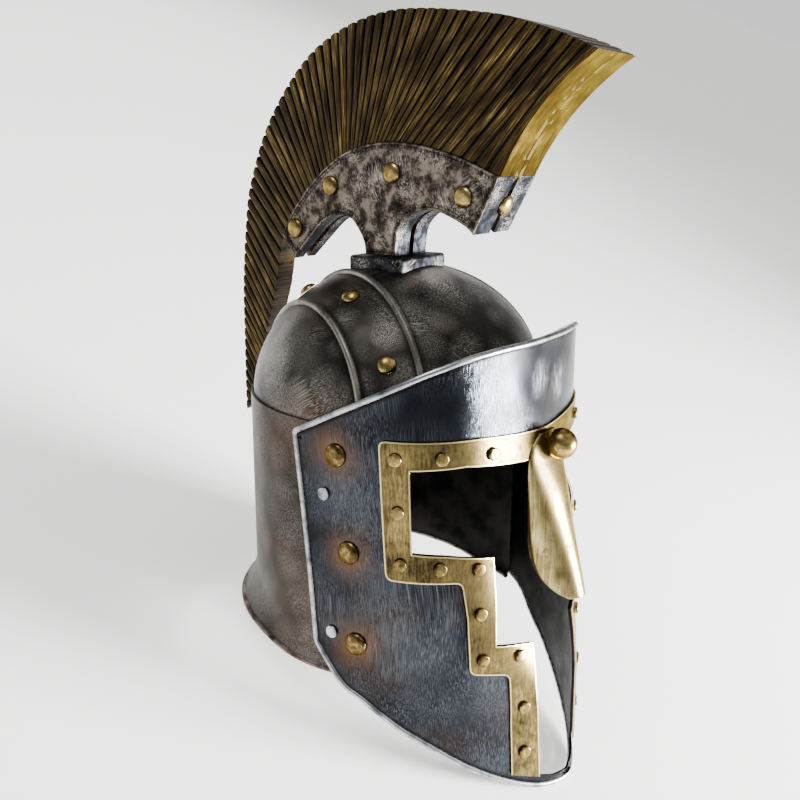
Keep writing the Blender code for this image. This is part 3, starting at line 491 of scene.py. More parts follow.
def makeBeads():
    arc = 180 - 2 * bead["foot"]  # degrees from one foot of a band to the other
    for side, word in sides:
        path = [beadPoint(bead["rear"], math.radians(bead["foot"] + arc * i / bead["steps"]), side)
                for i in range(bead["steps"] + 1)]
        piece = makeRod("rearBead" + word.title(), path, bead["radius"], False)
        finished(piece, [beadSteel], ["crown_rib_rear_" + word])
    # the front bands run up one side, meet in a point at the back of the crown and run down the other
    half = [beadPoint(bead["front"], math.radians(bead["foot"] + 1.72 * i), 1) for i in range(74)]
    meetY = bead["front"] / math.sin(bead["splay"])
    path = half + [Vector((0, meetY, domeDrop(0, meetY)))]
    path += [Vector((-p.x, p.y, p.z)) for p in path[-2::-1]]
    piece = makeRod("frontBead", path, bead["radius"], False)
    finished(piece, [beadSteel], ["crown_rib_front"])


makeDome()
makeBeads()
print("dome and beads made")


# neck guard

neck = {"top": .080, "height": .142, "flare": .0156, "wire": .002, "columns": 150, "turn": 112}
# degrees from the back, as far as neck["turn"]; shares of the height to top, crease and rim; of the flare
neckTable = [
    (0, .000, .775, 1.000, 1.00), (38, .004, .824, 1.028, .85), (55, .012, .873, 1.046, .68),
    (71, .018, .944, 1.092, .42), (80, .024, .986, 1.120, .33), (87, .028, 1.028, 1.144, .20),
    (93, .032, 1.063, 1.160, .04), (98, .035, 1.092, 1.168, -.02), (104, .038, 1.113, 1.176, -.10),
    (112, .040, 1.134, 1.183, -.12)]


def neckRow(angle):  # the table between its rows
    total = [0.0] * 5
    for nudge in (-4, -2, 0, 2, 4):  # evened out over a few degrees
        at = min(abs(angle + nudge), neck["turn"])
        for one, two in zip(neckTable, neckTable[1:]):
            if at <= two[0]:
                f = (at - one[0]) / (two[0] - one[0])
                total = [t + value / 5 for t, value in zip(total, between(one, two, f))]
                break
    return total


def neckWall(angle):  # radius of the wall just outside the dome
    grow = gap + sheet
    return 1 / math.hypot(math.sin(angle) / (dome["halfWidth"] + grow),
                          math.cos(angle) / (dome["halfLength"] + grow))


def neckPoint(degrees, share):  # share runs 0 at the top edge, .5 at the crease, 1 at the rim
    turn = math.radians(degrees)
    top, crease, rim, flare = neckRow(degrees)[1:]
    radius = neckWall(turn)
    heights = [-neck["top"] - neck["height"] * value for value in (top, crease, rim)]
    if share <= .5:
        z = heights[0] + (heights[1] - heights[0]) * share * 2
    else:
        f = (share - .5) * 2
        z = heights[1] + (heights[2] - heights[1]) * f
        radius += (neck["flare"] * flare - neck["wire"]) * (.35 * f + .65 * f * f)
    return Vector((radius * math.sin(turn), radius * math.cos(turn), z))


def makeNeckGuard():
    columns, rows = neck["columns"], 22
    bpy.ops.mesh.primitive_grid_add(x_subdivisions=columns, y_subdivisions=rows, size=2)
    piece = added("neckGuard")
    for point in piece.data.vertices:
        point.co = neckPoint(neck["turn"] * point.co.x, .5 - .5 * point.co.y)
    outwards(piece)
    if piece.data.polygons[0].normal.dot(piece.data.polygons[0].center) < 0:
        piece.data.flip_normals()
    thickened(piece, sheet, [neckSteel, blackInside])
    finished(piece, [], ["neck_guard"], 50)
    rim = [neckPoint(neck["turn"] * (i / 80 - 1), 1) for i in range(161)]
    rim = [p - Vector((p.x, p.y, 0)).normalized() * neck["wire"] * .3 for p in rim]
    finished(makeRod("neckRim", rim, neck["wire"], False), [rimSteel])


makeNeckGuard()
print("neck guard made")


# visor plate: flat patterns bent round the front, straight at the sides

visor = {"halfWidth": .108, "front": .1081, "shoulder": .0236, "roundness": 2.58, "chinRoundness": 1.5,
         "chinReach": .026, "blend": .160, "girth": .188, "top": .038, "height": .2969, "wire": .002}
browLine = -visor["top"] - visor["height"] * .2425
# shares of the girth round the plate and of the height down it
visorOutline = [
    (0, 0), (.120, 0), (.245, 0), (.351, .005), (.415, .012), (.468, .021), (.556, .040), (.718, .088),
    (.859, .131), (1.0, .175), (.991, .219), (.952, .452), (.929, .631), (.824, .711), (.751, .741),
    (.650, .799), (.535, .850), (.404, .908), (.255, .960), (.138, .989), (.046, .999), (0, 1)]
faceOpening = [
    (0, .254), (.129, .249), (.401, .226), (.577, .227), (.571, .397), (.466, .405), (.296, .428),
    (.293, .519), (.302, .620), (.225, .630), (.150, .640), (.160, .767), (.141, .958), (.070, .973),
    (0, .977)]
trimOutline = [
    (0, .193), (.047, .192), (.353, .173), (.672, .168), (.653, .454), (.416, .466), (.401, .546),
    (.398, .672), (.261, .691), (.261, .799), (.251, .934)]
trimRivets = [
    (.621, .204), (.482, .204), (.302, .209), (.614, .311), (.608, .419), (.487, .430), (.357, .443),
    (.355, .540), (.353, .643), (.214, .656), (.213, .775), (.207, .883)]
visorRivets = [(.825, .212), (.781, .411), (.761, .608)]
steelRivets = [(.873, .297), (.850, .594)]
bendLevels = 40
bendSteps = 300
fineStep = .0008
cutWidth = .004
cutHeight = .006


def bendLine(blend):  # half plan of the bent plate, 0 at the brow and 1 at the chin
    roundness = visor["roundness"] + (visor["chinRoundness"] - visor["roundness"]) * blend
    reach = visor["front"] - visor["shoulder"] + visor["chinReach"] * blend
    places = []
    for i in range(bendSteps + 1):
        turn = math.pi / 2 * i / bendSteps
        places.append((visor["halfWidth"] * math.sin(turn) ** (2 / roundness),
                       -visor["shoulder"] - reach * max(math.cos(turn), 0.0) ** (2 / roundness)))
    return runningLengths(places), places


bendLines = [bendLine(i / bendLevels) for i in range(bendLevels + 1)]


def bentFace(girth, height):  # a point of the flat pattern on the bent plate's outer face
    blend = min(max((browLine - height) / visor["blend"], 0), 1) ** 2 * bendLevels
    side = 1 if girth >= 0 else -1
    shoulder = bendLines[0][0][-1]
    if abs(girth) >= shoulder:
        return Vector((side * visor["halfWidth"], abs(girth) - shoulder - visor["shoulder"], height))
    level = min(int(blend), bendLevels - 1)
    found = []
    for lengths, places in bendLines[level:level + 2]:
        i, f = placeIn(lengths, abs(girth) / shoulder * lengths[-1])
        found.append(between(places[i], places[i + 1], f))
    x, y = between(*found, blend - level)
    return Vector((side * x, y, height))


def bentNormal(girth, height):
    around = bentFace(girth + fineStep, height) - bentFace(girth - fineStep, height)
    down = bentFace(girth, height - fineStep) - bentFace(girth, height + fineStep)
    return down.cross(around).normalized()


def bentPoint(girth, height, lift):
    return bentFace(girth, height) + bentNormal(girth, height) * lift


def flat(mark):  # shares of girth and height to metres on the flat pattern
    return (mark[0] * visor["girth"], -visor["top"] - mark[1] * visor["height"])


def insetLine(points, inset):  # an open half outline moved inward, measured on the bent plate
    moved = []
    for i, (x, y) in enumerate(points):
        scale = (bentFace(x + fineStep, y) - bentFace(x - fineStep, y)).length / (2 * fineStep)
        normals = []
        for j, k in ((i - 1, i), (i, i + 1)):
            if j >= 0 and k < len(points):
                dx, dy = points[k][0] - points[j][0], points[k][1] - points[j][1]
                normals.append(Vector((dy, -dx * scale)).normalized())
        total = sum(normals, Vector((0, 0))).normalized()
        shift = inset / max(total.dot(normals[0]), .3)
        moved.append((x + total.x * shift / scale, y + total.y * shift))
    moved[0] = (0.0, moved[0][1])
    moved[-1] = (0.0, moved[-1][1])
    return moved


outerEdge = curvedThrough([flat(m) for m in visorOutline], 4, (9, 12))
openingEdge = [flat(m) for m in faceOpening]


def roundedCorners(points, radius):  # sharp corners rounded, bends over 140 degrees left
    line = [points[0]]
    for before, here, after in zip(points, points[1:], points[2:]):
        before, here, after = Vector(before), Vector(here), Vector(after)
        one, two = before - here, after - here
        if one.angle(two) > math.radians(140):
            line.append(tuple(here))
            continue
        start, end = here + one.normalized() * radius, here + two.normalized() * radius
        line += [tuple(start.lerp(here, t).lerp(here.lerp(end, t), t)) for t in (0, .25, .5, .75, 1)]
    return line + [points[-1]]


# a half pattern mirrored, inset along its rims, cut into rows and columns, bent and thickened
def makeBentSheet(name, half, edges, lift, thickness, rim, materials):
    piece = laidRing(name, [(*place, 0) for place in half])
    applied(piece, "MIRROR", use_mirror_merge=True, merge_threshold=1e-5)
    edit(piece)
    for width in rim:
        bpy.ops.mesh.inset(thickness=width, use_boundary=True, use_even_offset=True)
    xs, ys = zip(*half)
    count = int(max(xs) / cutWidth)
    cuts = [((cutWidth * i, 0, 0), (1, 0, 0)) for i in range(-count, count + 1)]
    cuts += [((0, cutHeight * i, 0), (0, 1, 0))
             for i in range(math.ceil(min(ys) / cutHeight), int(max(ys) / cutHeight) + 1)]
    for place, direction in cuts:
        pickAll()
        bpy.ops.mesh.bisect(plane_co=place, plane_no=direction)
    pickAll()
    bpy.ops.mesh.remove_doubles(threshold=2e-5)
    leaveEdit()
    writeMarks(piece, "edgeDistance", [
        min(lineDistance(abs(v.co.x), v.co.y, line) for line in edges) for v in piece.data.vertices])
    writeMarks(piece, "rivetHaze", [
        max(math.exp(-(math.dist((abs(v.co.x), v.co.y), flat(m)) / .012) ** 2) for m in visorRivets)
        for v in piece.data.vertices])
    for point in piece.data.vertices:
        point.co = bentPoint(point.co.x, point.co.y, lift + thickness)
    middle = min(piece.data.polygons, key=lambda face: (face.center - Vector((0, -.2, -.06))).length)
    if middle.normal.y > 0:
        piece.data.flip_normals()
    thickened(piece, thickness, materials)
    return piece


def makeVisor():
    plate = insetLine(outerEdge, 2 * visor["wire"] + gap)
    plate = evenly(plate, .004)
    piece = makeBentSheet("visorPlate", plate + openingEdge[::-1], [plate, openingEdge],
                          -sheet, sheet, (.0011, .0013), [visorSteel, blackInside])
    finished(piece, [], ["visor_plate"], 30)
    path = [bentPoint(x, y, -sheet / 2) for x, y in evenly(insetLine(outerEdge, visor["wire"]), .003)]
    path += [Vector((-p.x, p.y, p.z)) for p in path[-2:0:-1]]
    wire = makeRod("visorWire", path, visor["wire"], True)
    finished(wire, [wireSteel], ["visor_edge_wire"])


trim = {"lift": .0005, "sheet": .0012, "corner": .0045, "bevel": .0003}


def makeTrim():
    outside = roundedCorners([flat(m) for m in trimOutline], trim["corner"])
    inside = openingEdge[:-2]
    inside[-1] = (inside[-1][0], flat((0, .958))[1])
    # the distances to the rims give the trim its painted highlight and the darker band inside it
    piece = makeBentSheet("faceTrim", outside + inside[::-1], [outside, inside],
                          trim["lift"], trim["sheet"], (.0007, .0012), [trimBrass])
    softened(piece, trim["bevel"])
    finished(piece, [], ["face_trim"], 40)


makeVisor()
makeTrim()
print("visor plate, wire and trim made")


# nose guard and ball

nose = {"height": .104, "top": .098, "halfWidth": .0225, "depth": .0305, "bevel": .0004}
# shares of height, half width and depth, degrees cut off each side
noseTable = [
    (.000, .450, .060, 0), (.050, .760, .090, 0), (.120, .950, .150, 0), (.220, 1.000, .270, 0),
    (.360, .980, .430, 0), (.500, .940, .560, 0), (.640, .890, .690, 0), (.760, .840, .800, 4),
    (.850, .820, .880, 13), (.920, .800, .940, 26), (.970, .790, .980, 40), (1.000, .780, 1.000, 55)]


smoothNose = curvedThrough(noseTable, 8)


def noseRow(share):
    for one, two in zip(smoothNose, smoothNose[1:]):
        if share <= two[0] or two is smoothNose[-1]:
            f = (share - one[0]) / max(two[0] - one[0], 1e-9)
            return between(one, two, f)


def noseBase(half):
    return bentFace(half - sheet, -nose["top"]).y - trim["lift"] - trim["sheet"] - gap


def makeNose():
    columns, rows = 28, 44
    bpy.ops.mesh.primitive_grid_add(x_subdivisions=columns, y_subdivisions=rows, size=2)
    piece = added("noseGuard")
    levels = {}
    edgeMarks = []
    for point in piece.data.vertices:
        share = round(.5 - .5 * point.co.y, 5)
        if share not in levels:
            levels[share] = noseRow(share)
        width, depth, cut = levels[share][1:]
        half, first = nose["halfWidth"] * width, math.radians(max(cut, 0))
        turn = first + (math.pi - 2 * first) * (.5 - .5 * point.co.x)
        # edge distance: small at the sheet's edges, where the brass takes its painted highlight rim
        edgeMarks.append(min(1 - abs(point.co.x), (1 - abs(point.co.y)) * 1.2) * .030 + .0008)
        point.co = (half * math.cos(turn), noseBase(half) - nose["depth"] * depth * math.sin(turn),
                    -nose["top"] - nose["height"] * share)
    writeMarks(piece, "edgeDistance", edgeMarks)
    outwards(piece)
    front = min(piece.data.polygons, key=lambda face: face.center.y)
    if front.normal.y > 0:
        piece.data.flip_normals()
    thickened(piece, sheet, [noseBrass])
    softened(piece, nose["bevel"])
    finished(piece, [], ["nose_guard"], 50)


ball = {"radius": .0098, "drop": .1048, "cut": math.radians(-30)}


def makeBall():
    row = noseRow((ball["drop"] + ball["radius"] - nose["top"]) / nose["height"])
    seat = noseBase(nose["halfWidth"] * row[1]) - nose["depth"] * row[2] - gap
    centre = seat + ball["radius"] * math.sin(ball["cut"])
    bpy.ops.mesh.primitive_uv_sphere_add(segments=40, ring_count=24, radius=ball["radius"],
                                         location=(0, centre, -ball["drop"]))
    piece = added("noseBall")
    edit(piece)
    bpy.ops.mesh.bisect(plane_co=(0, seat, 0), plane_no=(0, 1, 0), clear_outer=True, use_fill=True)
    pickFaces(piece, lambda face: face.normal.y > .98 and len(face.vertices) > 10)
    bpy.ops.mesh.inset(thickness=.0005)
    leaveEdit()
    writeMarks(piece, "edgeDistance", [.02] * len(piece.data.vertices))
    finished(piece, [rivetBrass], ["nose_ball"], 40)


makeNose()
makeBall()
print("nose guard and ball made")


# rivets: one head of each kind, copied to its seats

rivets = {
    "trim": {"radius": .004, "height": .0018},
    "visor": {"radius": .0072, "height": .0034},
    "steel": {"radius": .004, "height": .0012},
    "band": {"radius": .0058, "height": .0032},
    "crest": {"radius": .0066, "height": .0036},
}


def flatHead(name, kind):  # a set-down head with a rounded rim
    size = rivets[kind]
    bpy.ops.mesh.primitive_cylinder_add(vertices=28, radius=size["radius"], depth=size["height"],
                                        location=(0, 0, size["height"] / 2))
    piece = added(name)
    edit(piece)
    pickFaces(piece, lambda face: face.normal.z > .9)
    bpy.ops.mesh.bevel(offset=size["height"] * .42, segments=4, affect="EDGES")
    pickFaces(piece, lambda face: face.normal.z > .999)
    bpy.ops.mesh.inset(thickness=size["radius"] * .25)
    bpy.ops.transform.translate(value=(0, 0, size["height"] * (.07 if kind == "trim" else -.25)))
    leaveEdit()
    piece.data.transform(piece.matrix_world)
    piece.matrix_world = Matrix.Identity(4)
    writeMarks(piece, "edgeDistance", [
        .0012 + .02 * (v.co.z > size["height"] * .9) for v in piece.data.vertices])
    return piece


def domedHead(name, kind):
    size = rivets[kind]
    bpy.ops.mesh.primitive_uv_sphere_add(segments=36, ring_count=20, radius=1)
    piece = added(name)
    edit(piece)
    bpy.ops.mesh.bisect(plane_co=(0, 0, 0), plane_no=(0, 0, 1), clear_inner=True, use_fill=True)
    pickAll()
    bpy.ops.transform.resize(value=(size["radius"], size["radius"], size["height"]), center_override=(0, 0, 0))
    leaveEdit()
    for point in piece.data.vertices:  # a soft foot where the head meets its sheet
        out = math.hypot(point.co.x, point.co.y) / size["radius"]
        if out > 1e-6:
            grown = out + .10 * max(out - .75, 0) / .25 * (1 - out * .9)
            point.co.x *= min(grown, 1) / out
            point.co.y *= min(grown, 1) / out
    writeMarks(piece, "edgeDistance", [
        .0015 + .02 * min(v.co.z / size["height"] * 1.6, 1) for v in piece.data.vertices])
    return piece


# a copy of the head set square on its seat
def seatCopy(pattern, name, seat, normal, material, nodes):
    activate(pattern)
    bpy.ops.object.duplicate()
    copy = added(name)
    turn = Vector((0, 0, 1)).rotation_difference(normal).to_matrix().to_4x4()
    copy.matrix_world = Matrix.Translation(seat + normal * gap) @ turn
    finished(copy, [material], nodes, 45)


def makeRivets():
    plate = trim["lift"] + trim["sheet"]
    for kind, marks, lift, maker, material, slotName in (
            ("trim", trimRivets, plate, flatHead, rivetBrass, "antique_brass"),
            ("visor", visorRivets, 0, domedHead, brownBrass, "antique_brass"),
            ("steel", steelRivets, 0, flatHead, wireSteel, "bright_steel")):
        pattern = maker(kind + "Pattern", kind)
        for side, word in sides:
            for number, mark in enumerate(marks, 1):
                x, y = flat(mark)
                seatCopy(pattern, f"{kind}Rivet_{word}_{number}", bentPoint(side * x, y, lift),
                         bentNormal(side * x, y), material, [f"{kind}_rivet_{word}_{number}"])
        bpy.data.objects.remove(pattern)
    pattern = domedHead("bandPattern", "band")
    for side, word in sides:
        for number, share in enumerate((.565, -.040, -.476), 1):
            y = share * dome["halfLength"]
            across = (bead["front"] + bead["rear"]) / 2 - math.sin(bead["splay"]) * y
            x = side * across / math.cos(bead["splay"])
            seat = Vector((x, y, domeDrop(x, y)))
            seatCopy(pattern, f"bandRivet_{word}_{number}", seat, domeNormal(seat), rivetBrass,
                     [f"band_rivet_{word}_{number}"])
    bpy.data.objects.remove(pattern)


makeRivets()
print("rivets made")


# crest: saddle, two cast holder halves and two grooved fan halves, thicker toward the front

crest = {"reach": .145, "rise": .155, "half": .018, "taper": .075, "slot": .0025, "tongue": .006,
         "inset": .002, "strands": 62, "groove": .0013, "bow": .0065, "rowCount": 26, "crack": .0004,
         "border": .0030, "line": .0009, "relief": .0009, "ropePitch": .0026, "ropeRadius": .0013}
strandSteps = 40
# where a strand leaves the holder and where it ends on the outer edge, shares of reach and rise
fanTable = [
    (-.590, .365, -1.0, .800), (-.345, .450, -.800, .878), (-.083, .495, -.500, .954), (.138, .480, 0, .993),
    (.310, .415, .400, .877), (.483, .285, .690, .613), (.634, .095, .848, .320), (.697, -.155, .897, .110),
    (.772, -.370, .927, -.150), (.841, -.555, .934, -.420), (.890, -.690, .938, -.640),
    (.910, -.745, .938, -.765)]
holderUnder = [
    (-.468, .142), (-.432, .171), (-.359, .203), (-.284, .226), (-.219, .230), (-.152, .215), (-.103, .182),
    (-.073, .141), (-.063, .090), (-.060, .036), (.112, .036), (.120, .088), (.152, .138), (.194, .181),
    (.248, .194), (.312, .185), (.380, .151), (.462, .078), (.553, -.007)]
holderRivets = [(-.416, .285), (-.038, .372), (.318, .314), (.545, .126)]
holderEnd = 6  # the fan table's row where the holder's rear corner is
fineStrands = curvedThrough(fanTable, strandSteps)


def crestHalf(y):  # half thickness, growing toward the front
    return crest["half"] - crest["taper"] * y


def strandAt(position):  # position in table rows
    at = min(max(position * strandSteps, 0), len(fineStrands) - 1)
    i = min(int(at), len(fineStrands) - 2)
    row = between(fineStrands[i], fineStrands[i + 1], at - i)
    return (Vector((row[0] * crest["reach"], row[1] * crest["rise"])),
            Vector((row[2] * crest["reach"], row[3] * crest["rise"])))


# mesh columns: place in table rows, groove depth, strand number, how far the end is shut
def strandColumns():
    lengths = runningLengths([strandAt(i / strandSteps)[1] for i in range(len(fineStrands))])
    columns = []
    shape = ((0, 1.0), (.11, .25), (.24, 0), (.5, -.12), (.76, 0), (.89, .25))  # share of a pitch, depth
    count = crest["strands"]
    for n in range(count):
        jitter = random.uniform(-.06, .06)
        deep = random.uniform(.75, 1.15)
        for place, depth in shape:
            if n == 0 and place == 0:
                depth = 0
            moved = jitter if place == 0 and n else 0
            i, f = placeIn(lengths, (n + place + moved) / count * lengths[-1])
            columns.append(((i + f) / strandSteps, depth * deep, n + place, 0.0))
    columns.append((len(fanTable) - 1, 0, count, 0.0))
    ends = (1, .82, .64, .46, .28, .1)
    front = [(0, 0, 0, t) for t in ends]
    tail = [(len(fanTable) - 1, 0, count, t) for t in reversed(ends)]
    return front + columns + tail


def makeFanHalf(name, side, node):
    columns = strandColumns()
    # rows of the mesh: down the tongue, out along the cheek, over the rim and back along the middle
    rows = [("tongue", 0), ("tongue", 1), ("tongue", 2)]
    rows += [("cheek", i / crest["rowCount"]) for i in range(crest["rowCount"] + 1)]
    rows += [("rim", t) for t in (.25, .5, .75)]
    rows += [("middle", 1 - i / crest["rowCount"]) for i in range(crest["rowCount"] + 1)]
    rows += [("tongue", 0)]
    bpy.ops.mesh.primitive_grid_add(x_subdivisions=len(columns) - 1, y_subdivisions=len(rows) - 1, size=2)
    piece = added(name)
    grooves = []
    uvs = []
    for point in piece.data.vertices:
        i = round((point.co.x + 1) / 2 * (len(columns) - 1))
        j = round((point.co.y + 1) / 2 * (len(rows) - 1))
        position, depth, strandNumber, shut = columns[i]
        middle = crest["crack"] if position == 0 else 3e-5
        kind, share = rows[j]
        root, edge = strandAt(position)
        along = (edge - root).normalized()
        length = (edge - root).length
        bow = crest["bow"] * max(1 - position * 1.6, 0)
        held = position <= holderEnd
        groove = depth * crest["groove"] if kind in ("cheek", "rim") else 0
        distance, across = 0.0, middle
        if kind == "tongue":
            distance = (-crest["tongue"] if held else -1e-5) if share < 2 else 0.0
            across = middle if share == 0 else crest["slot"] - gap
        else:
            reach = share if kind != "rim" else 1.0
            distance = length * reach
            spot = root + along * distance
            half = crestHalf(spot.x) - crest["inset"] - max(groove * (.45 + .75 * reach), 0) + max(-groove, 0)
            across = {"cheek": half, "rim": half + (middle - half) * share, "middle": middle}[kind]
            if reach == 1.0:
                distance -= max(depth, 0) * crest["groove"] * 1.1
        across = middle + (across - middle) * (1 - shut)
        flatShare = min(max(distance / length, 0), 1)
        spot = root + along * distance + Vector((along.y, -along.x)) * bow * 4 * flatShare * (1 - flatShare)
        point.co = (side * across, spot.x, spot.y)
        grooves.append(max(depth, 0) if kind in ("cheek", "rim") else 0.0)
        uvs.append((strandNumber, distance))
    writeMarks(piece, "groove", grooves)
    layer = piece.data.uv_layers.new(name="strandMap")
    for loop in piece.data.loops:
        layer.data[loop.index].uv = uvs[loop.vertex_index]
    piece.data.materials.append(fanBrass)
    piece.data.materials.append(endBrass)
    first = len([column for column in columns if column[0] == 0 and column[3] > 0])
    for face in piece.data.polygons:  # the bare end face shows paler brass
        face.material_index = 1 if all(v % len(columns) <= first for v in face.vertices) else 0
    # the end face's rims take the brass's painted highlight
    writeMarks(piece, "edgeDistance", [
        .02 if 1 < v.index % len(columns) < first else .0009 for v in piece.data.vertices])
    outwards(piece)
    finished(piece, [], [node], 40)


def closedInset(points, inset):  # a closed outline moved inward; counter-clockwise points
    moved = []
    for before, here, after in zip(points[-1:] + points[:-1], points, points[1:] + points[:1]):
        one = Vector((here[0] - before[0], here[1] - before[1])).normalized()
        two = Vector((after[0] - here[0], after[1] - here[1])).normalized()
        total = (Vector((-one.y, one.x)) + Vector((-two.y, two.x))).normalized()
        shift = inset / max(total.dot(Vector((-one.y, one.x))), .45)
        moved.append((here[0] + total.x * shift, here[1] + total.y * shift))
    return moved


def holderLine():  # side outline of a holder plate, each run between its corners cut evenly
    under = [(a * crest["reach"], b * crest["rise"]) for a, b in holderUnder]
    under = curvedThrough(under, 4, (0, 9, 10, 18))
    top = []
    for i in range(61):
        root, edge = strandAt(holderEnd * i / 60)
        spot = root + (root - edge).normalized() * gap
        top.append((spot.x, spot.y))
    runs = (under[:37], under[36:41], under[40:], [under[-1], top[-1]], top[::-1], [top[0], under[0]])
    return [point for run in runs for point in evenly(run, .0036)[:-1]]


def makeHolderHalf(name, side, node):
    outline = holderLine()
    piece = laidRing(name, [(crest["slot"], y, z) for y, z in outline])
    edit(piece)
    bpy.ops.mesh.extrude_region_move(TRANSFORM_OT_translate={"value": (crest["half"], 0, 0)})
    leaveEdit()
    for point in piece.data.vertices:
        if point.co.x > crest["slot"] + 1e-4:
            point.co.x = crestHalf(point.co.y) - crest["relief"]
        point.co.x *= side
    outwards(piece)
    for face in piece.data.polygons:  # the walls stay black, with painted shade darkening them further; the face is wiped
        face.material_index = 0 if abs(face.normal.x) > .7 else 1
    finished(piece, [castGrey, castBlackAndShade], [node], 32)
    makeBorder(name, side, outline)
    makeRope(name + "Rope", side, outline)


def borderLine(side, outline, inset, sink):  # the plate's outline moved inward, on its face
    return [Vector((side * (crestHalf(y) - sink), y, z)) for y, z in closedInset(outline, inset)]


def makeBorder(name, side, outline):  # raised line cast round the edge
    line = borderLine(side, outline, crest["line"], crest["relief"])
    piece = makeRod(name + "Border", line, crest["line"], True)
    finished(piece, [castGrey], (), 60)


def makeRope(name, side, outline):  # beaded rope inside the raised line
    middle = [(point.y, point.z) for point in borderLine(side, outline, crest["border"], 0)]
    spots = evenly(middle + middle[:1], crest["ropePitch"])[:-1]
    bpy.ops.mesh.primitive_uv_sphere_add(segments=8, ring_count=6, radius=crest["ropeRadius"])
    pattern = added(name + "Bead")
    copies = []
    for n, (y, z) in enumerate(spots):
        before, after = spots[n - 1], spots[(n + 1) % len(spots)]
        lean = math.atan2(after[1] - before[1], after[0] - before[0]) + .45
        copy = pattern.copy()
        copy.data = pattern.data.copy()
        bpy.context.collection.objects.link(copy)
        copy.matrix_world = (Matrix.Translation((side * (crestHalf(y) - crest["relief"]), y, z))
                             @ Matrix.Rotation(lean, 4, "X") @ Matrix.Diagonal((.75, 1.15, .85, 1)))
        copies.append(copy)
    bpy.data.objects.remove(pattern)
    deselect()
    for copy in copies:
        copy.select_set(True)
    bpy.context.view_layer.objects.active = copies[0]
    bpy.ops.object.join()
    piece = added(name)
    bpy.ops.object.transform_apply(location=True, rotation=True, scale=True)
    foot = crest["relief"]
    writeMarks(piece, "soot", [
        .9 * (1 - min(max((abs(v.co.x) - crestHalf(v.co.y) + foot) / .0006, 0), 1))
        for v in piece.data.vertices])
    finished(piece, [castGrey], (), 60)


saddle = {"rear": .0262, "front": .0195, "top": .005, "overhang": .0085, "height": .012, "corner": .006,
          "edge": .0018, "cut": .0042}


def makeSaddle():
    centre = (saddle["rear"] - saddle["front"]) / 2
    middleHalf = crestHalf(centre)
    bpy.ops.mesh.primitive_cube_add(size=1, location=(0, 0, 0))
    piece = added("crestSaddle")
    edit(piece)
    bpy.ops.transform.resize(value=(
        2 * (middleHalf + saddle["overhang"]), saddle["rear"] + saddle["front"], saddle["height"]))
    bpy.ops.mesh.select_all(action="DESELECT")
    leaveEdit()
    for line in piece.data.edges:  # the four upright corners
        a, b = (piece.data.vertices[v].co for v in line.vertices)
        line.select = abs(a.z - b.z) > .001
    bpy.ops.object.mode_set(mode="EDIT")
    bpy.ops.mesh.select_mode(type="EDGE")
    bpy.ops.mesh.bevel(offset=saddle["corner"], segments=6, affect="EDGES")
    pickFaces(piece, lambda face: face.normal.z > .9)
    bpy.ops.mesh.bevel(offset=saddle["edge"], segments=4, affect="EDGES")
    for k in range(-5, 6):
        for across in ((1, 0, 0), (0, 1, 0)):
            pickAll()
            bpy.ops.mesh.bisect(plane_co=tuple(k * saddle["cut"] * a for a in across), plane_no=across)
    leaveEdit()
    for point in piece.data.vertices:  # tapered with the crest, its underside laid on the dome
        y = centre + point.co.y
        x = point.co.x * crestHalf(y) / middleHalf
        under = point.co.z < -.002
        point.co = (x, y, domeDrop(x, y, gap) if under else point.co.z - saddle["height"] / 2 + saddle["top"])
    outwards(piece)
    # the saddle takes the blackened casting, darkened further as painted shade
    finished(piece, [castBlackAndShade], ["crest_saddle"], 40)


def makeCrestRivets():
    pattern = domedHead("crestPattern", "crest")
    for number, (a, b) in enumerate(holderRivets, 1):
        y, z = a * crest["reach"], b * crest["rise"]
        for side, word in sides:
            seat = Vector((side * (crestHalf(y) - crest["relief"]), y, z))
            normal = Vector((side, crest["taper"], 0)).normalized()
            seatCopy(pattern, f"crestRivet_{word}_{number}", seat, normal, rivetBrass,
                     [f"crest_rivet_{number}"] if side < 0 else ())
    # the front rivet: halfway down the holder's front end, square to it
    upper = strandAt(0)[0]
    lower = Vector((holderUnder[0][0] * crest["reach"], holderUnder[0][1] * crest["rise"]))
    middle = (upper + lower) / 2
    edge = (lower - upper).normalized()
    normal = Vector((0, edge.y, -edge.x))
    if normal.y > 0:
        normal = -normal
    seatCopy(pattern, "crestFrontRivet", Vector((0, middle.x, middle.y)), normal, rivetBrass,
             ["crest_front_rivet"])
    bpy.data.objects.remove(pattern)


makeSaddle()
for side, word in sides:
    makeHolderHalf("crestHolder_" + word, side, "crest_holder_" + word)
    makeFanHalf("crestFan_" + word, side, "crest_fan_" + word)
makeCrestRivets()
print("crest made")


# studio: pale floor, soft boxes, camera at the photograph's angle. The sky goes from the horizon to
# the zenith: as pale as the floor, then dim walls, then a bright ceiling
studio = {"floor": "#f4f4f2", "floorSize": 60, "glow": .5,
          "sky": [(0, .97), (.12, .97), (.22, .26), (.60, .28), (.85, 1.0)]}


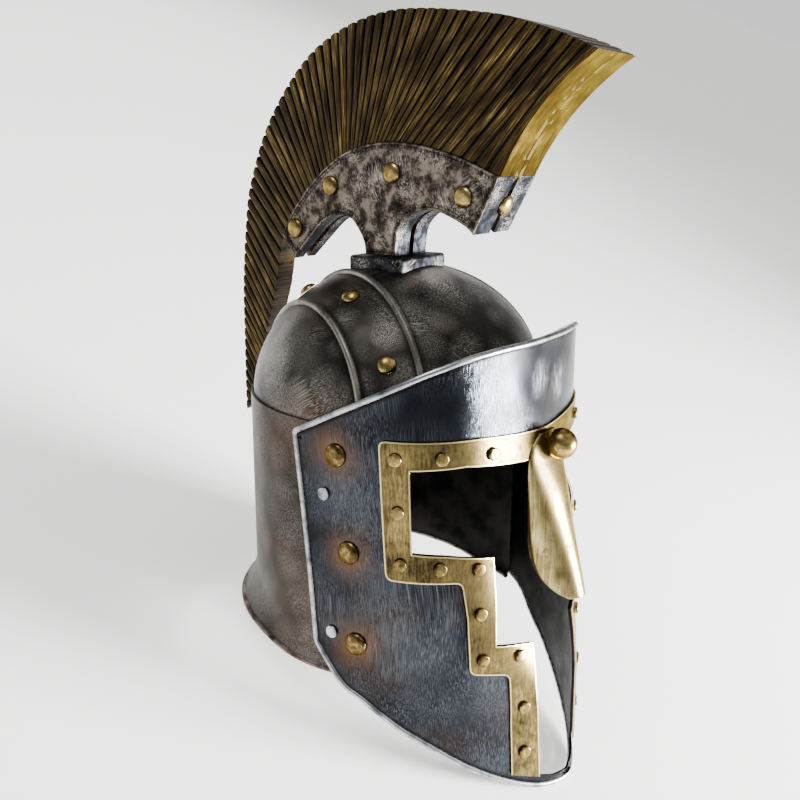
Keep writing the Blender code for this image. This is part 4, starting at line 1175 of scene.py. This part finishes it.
def makeStudio():
    bpy.ops.mesh.primitive_plane_add(size=studio["floorSize"], location=(0, 0, -.0005))
    floor = added("floor")
    material, tree, shader = startMaterial("Pale floor", .8, 0)
    shader.inputs["Base Color"].default_value = linear(studio["floor"])
    shader.inputs["Emission Color"].default_value = linear(studio["floor"])
    shader.inputs["Emission Strength"].default_value = studio["glow"]
    floor.data.materials.append(material)
    world = bpy.data.worlds.new("studio")
    bpy.context.scene.world = world
    world.use_nodes = True
    tree = world.node_tree
    height = addNode(tree, "SeparateXYZ", {0: addNode(tree, "TexCoord").outputs["Generated"]}).outputs[2]
    sky = addNode(tree, "ValToRGB", {"Fac": height}, stops=studio["sky"])
    tree.links.new(sky.outputs[0], tree.nodes["Background"].inputs["Color"])
    boxes = (  # place, aim, width, height, watts, spread
        ("key", (1.2, -2.0, .52), (0, -.1, .25), 1.0, .9, 180, 90),
        ("top", (-.85, .75, 2.0), (0, 0, .2), .9, .8, 20, 180),
        ("back", (1.4, 1.6, 1.4), (0, 0, .25), 1.0, 1.0, 30, 180),
    )
    for name, place, aim, width, height, watts, spread in boxes:
        light = bpy.data.lights.new(name, "AREA")
        light.shape = "RECTANGLE"
        light.size = width
        light.size_y = height
        light.energy = watts
        light.spread = math.radians(spread)
        lamp = bpy.data.objects.new(name, light)
        bpy.context.collection.objects.link(lamp)
        lamp.location = place
        lamp.rotation_euler = (Vector(aim) - Vector(place)).to_track_quat("-Z", "Y").to_euler()


def makeCamera():
    lens = bpy.data.cameras.new("camera")
    lens.lens = 45
    lens.sensor_width = 36
    camera = bpy.data.objects.new("camera", lens)
    bpy.context.collection.objects.link(camera)
    right = Vector((.5585, -.8295, 0))
    up = Vector((.2012, .1355, .9701))
    back = Vector((-.8048, -.5418, .2426))
    turn = Matrix((right, up, back)).transposed().to_4x4()
    camera.matrix_world = restPlace @ Matrix.Translation((-.5495, -.3699, .0717)) @ turn
    bpy.context.scene.camera = camera


makeStudio()
makeCamera()
print("studio and camera set")
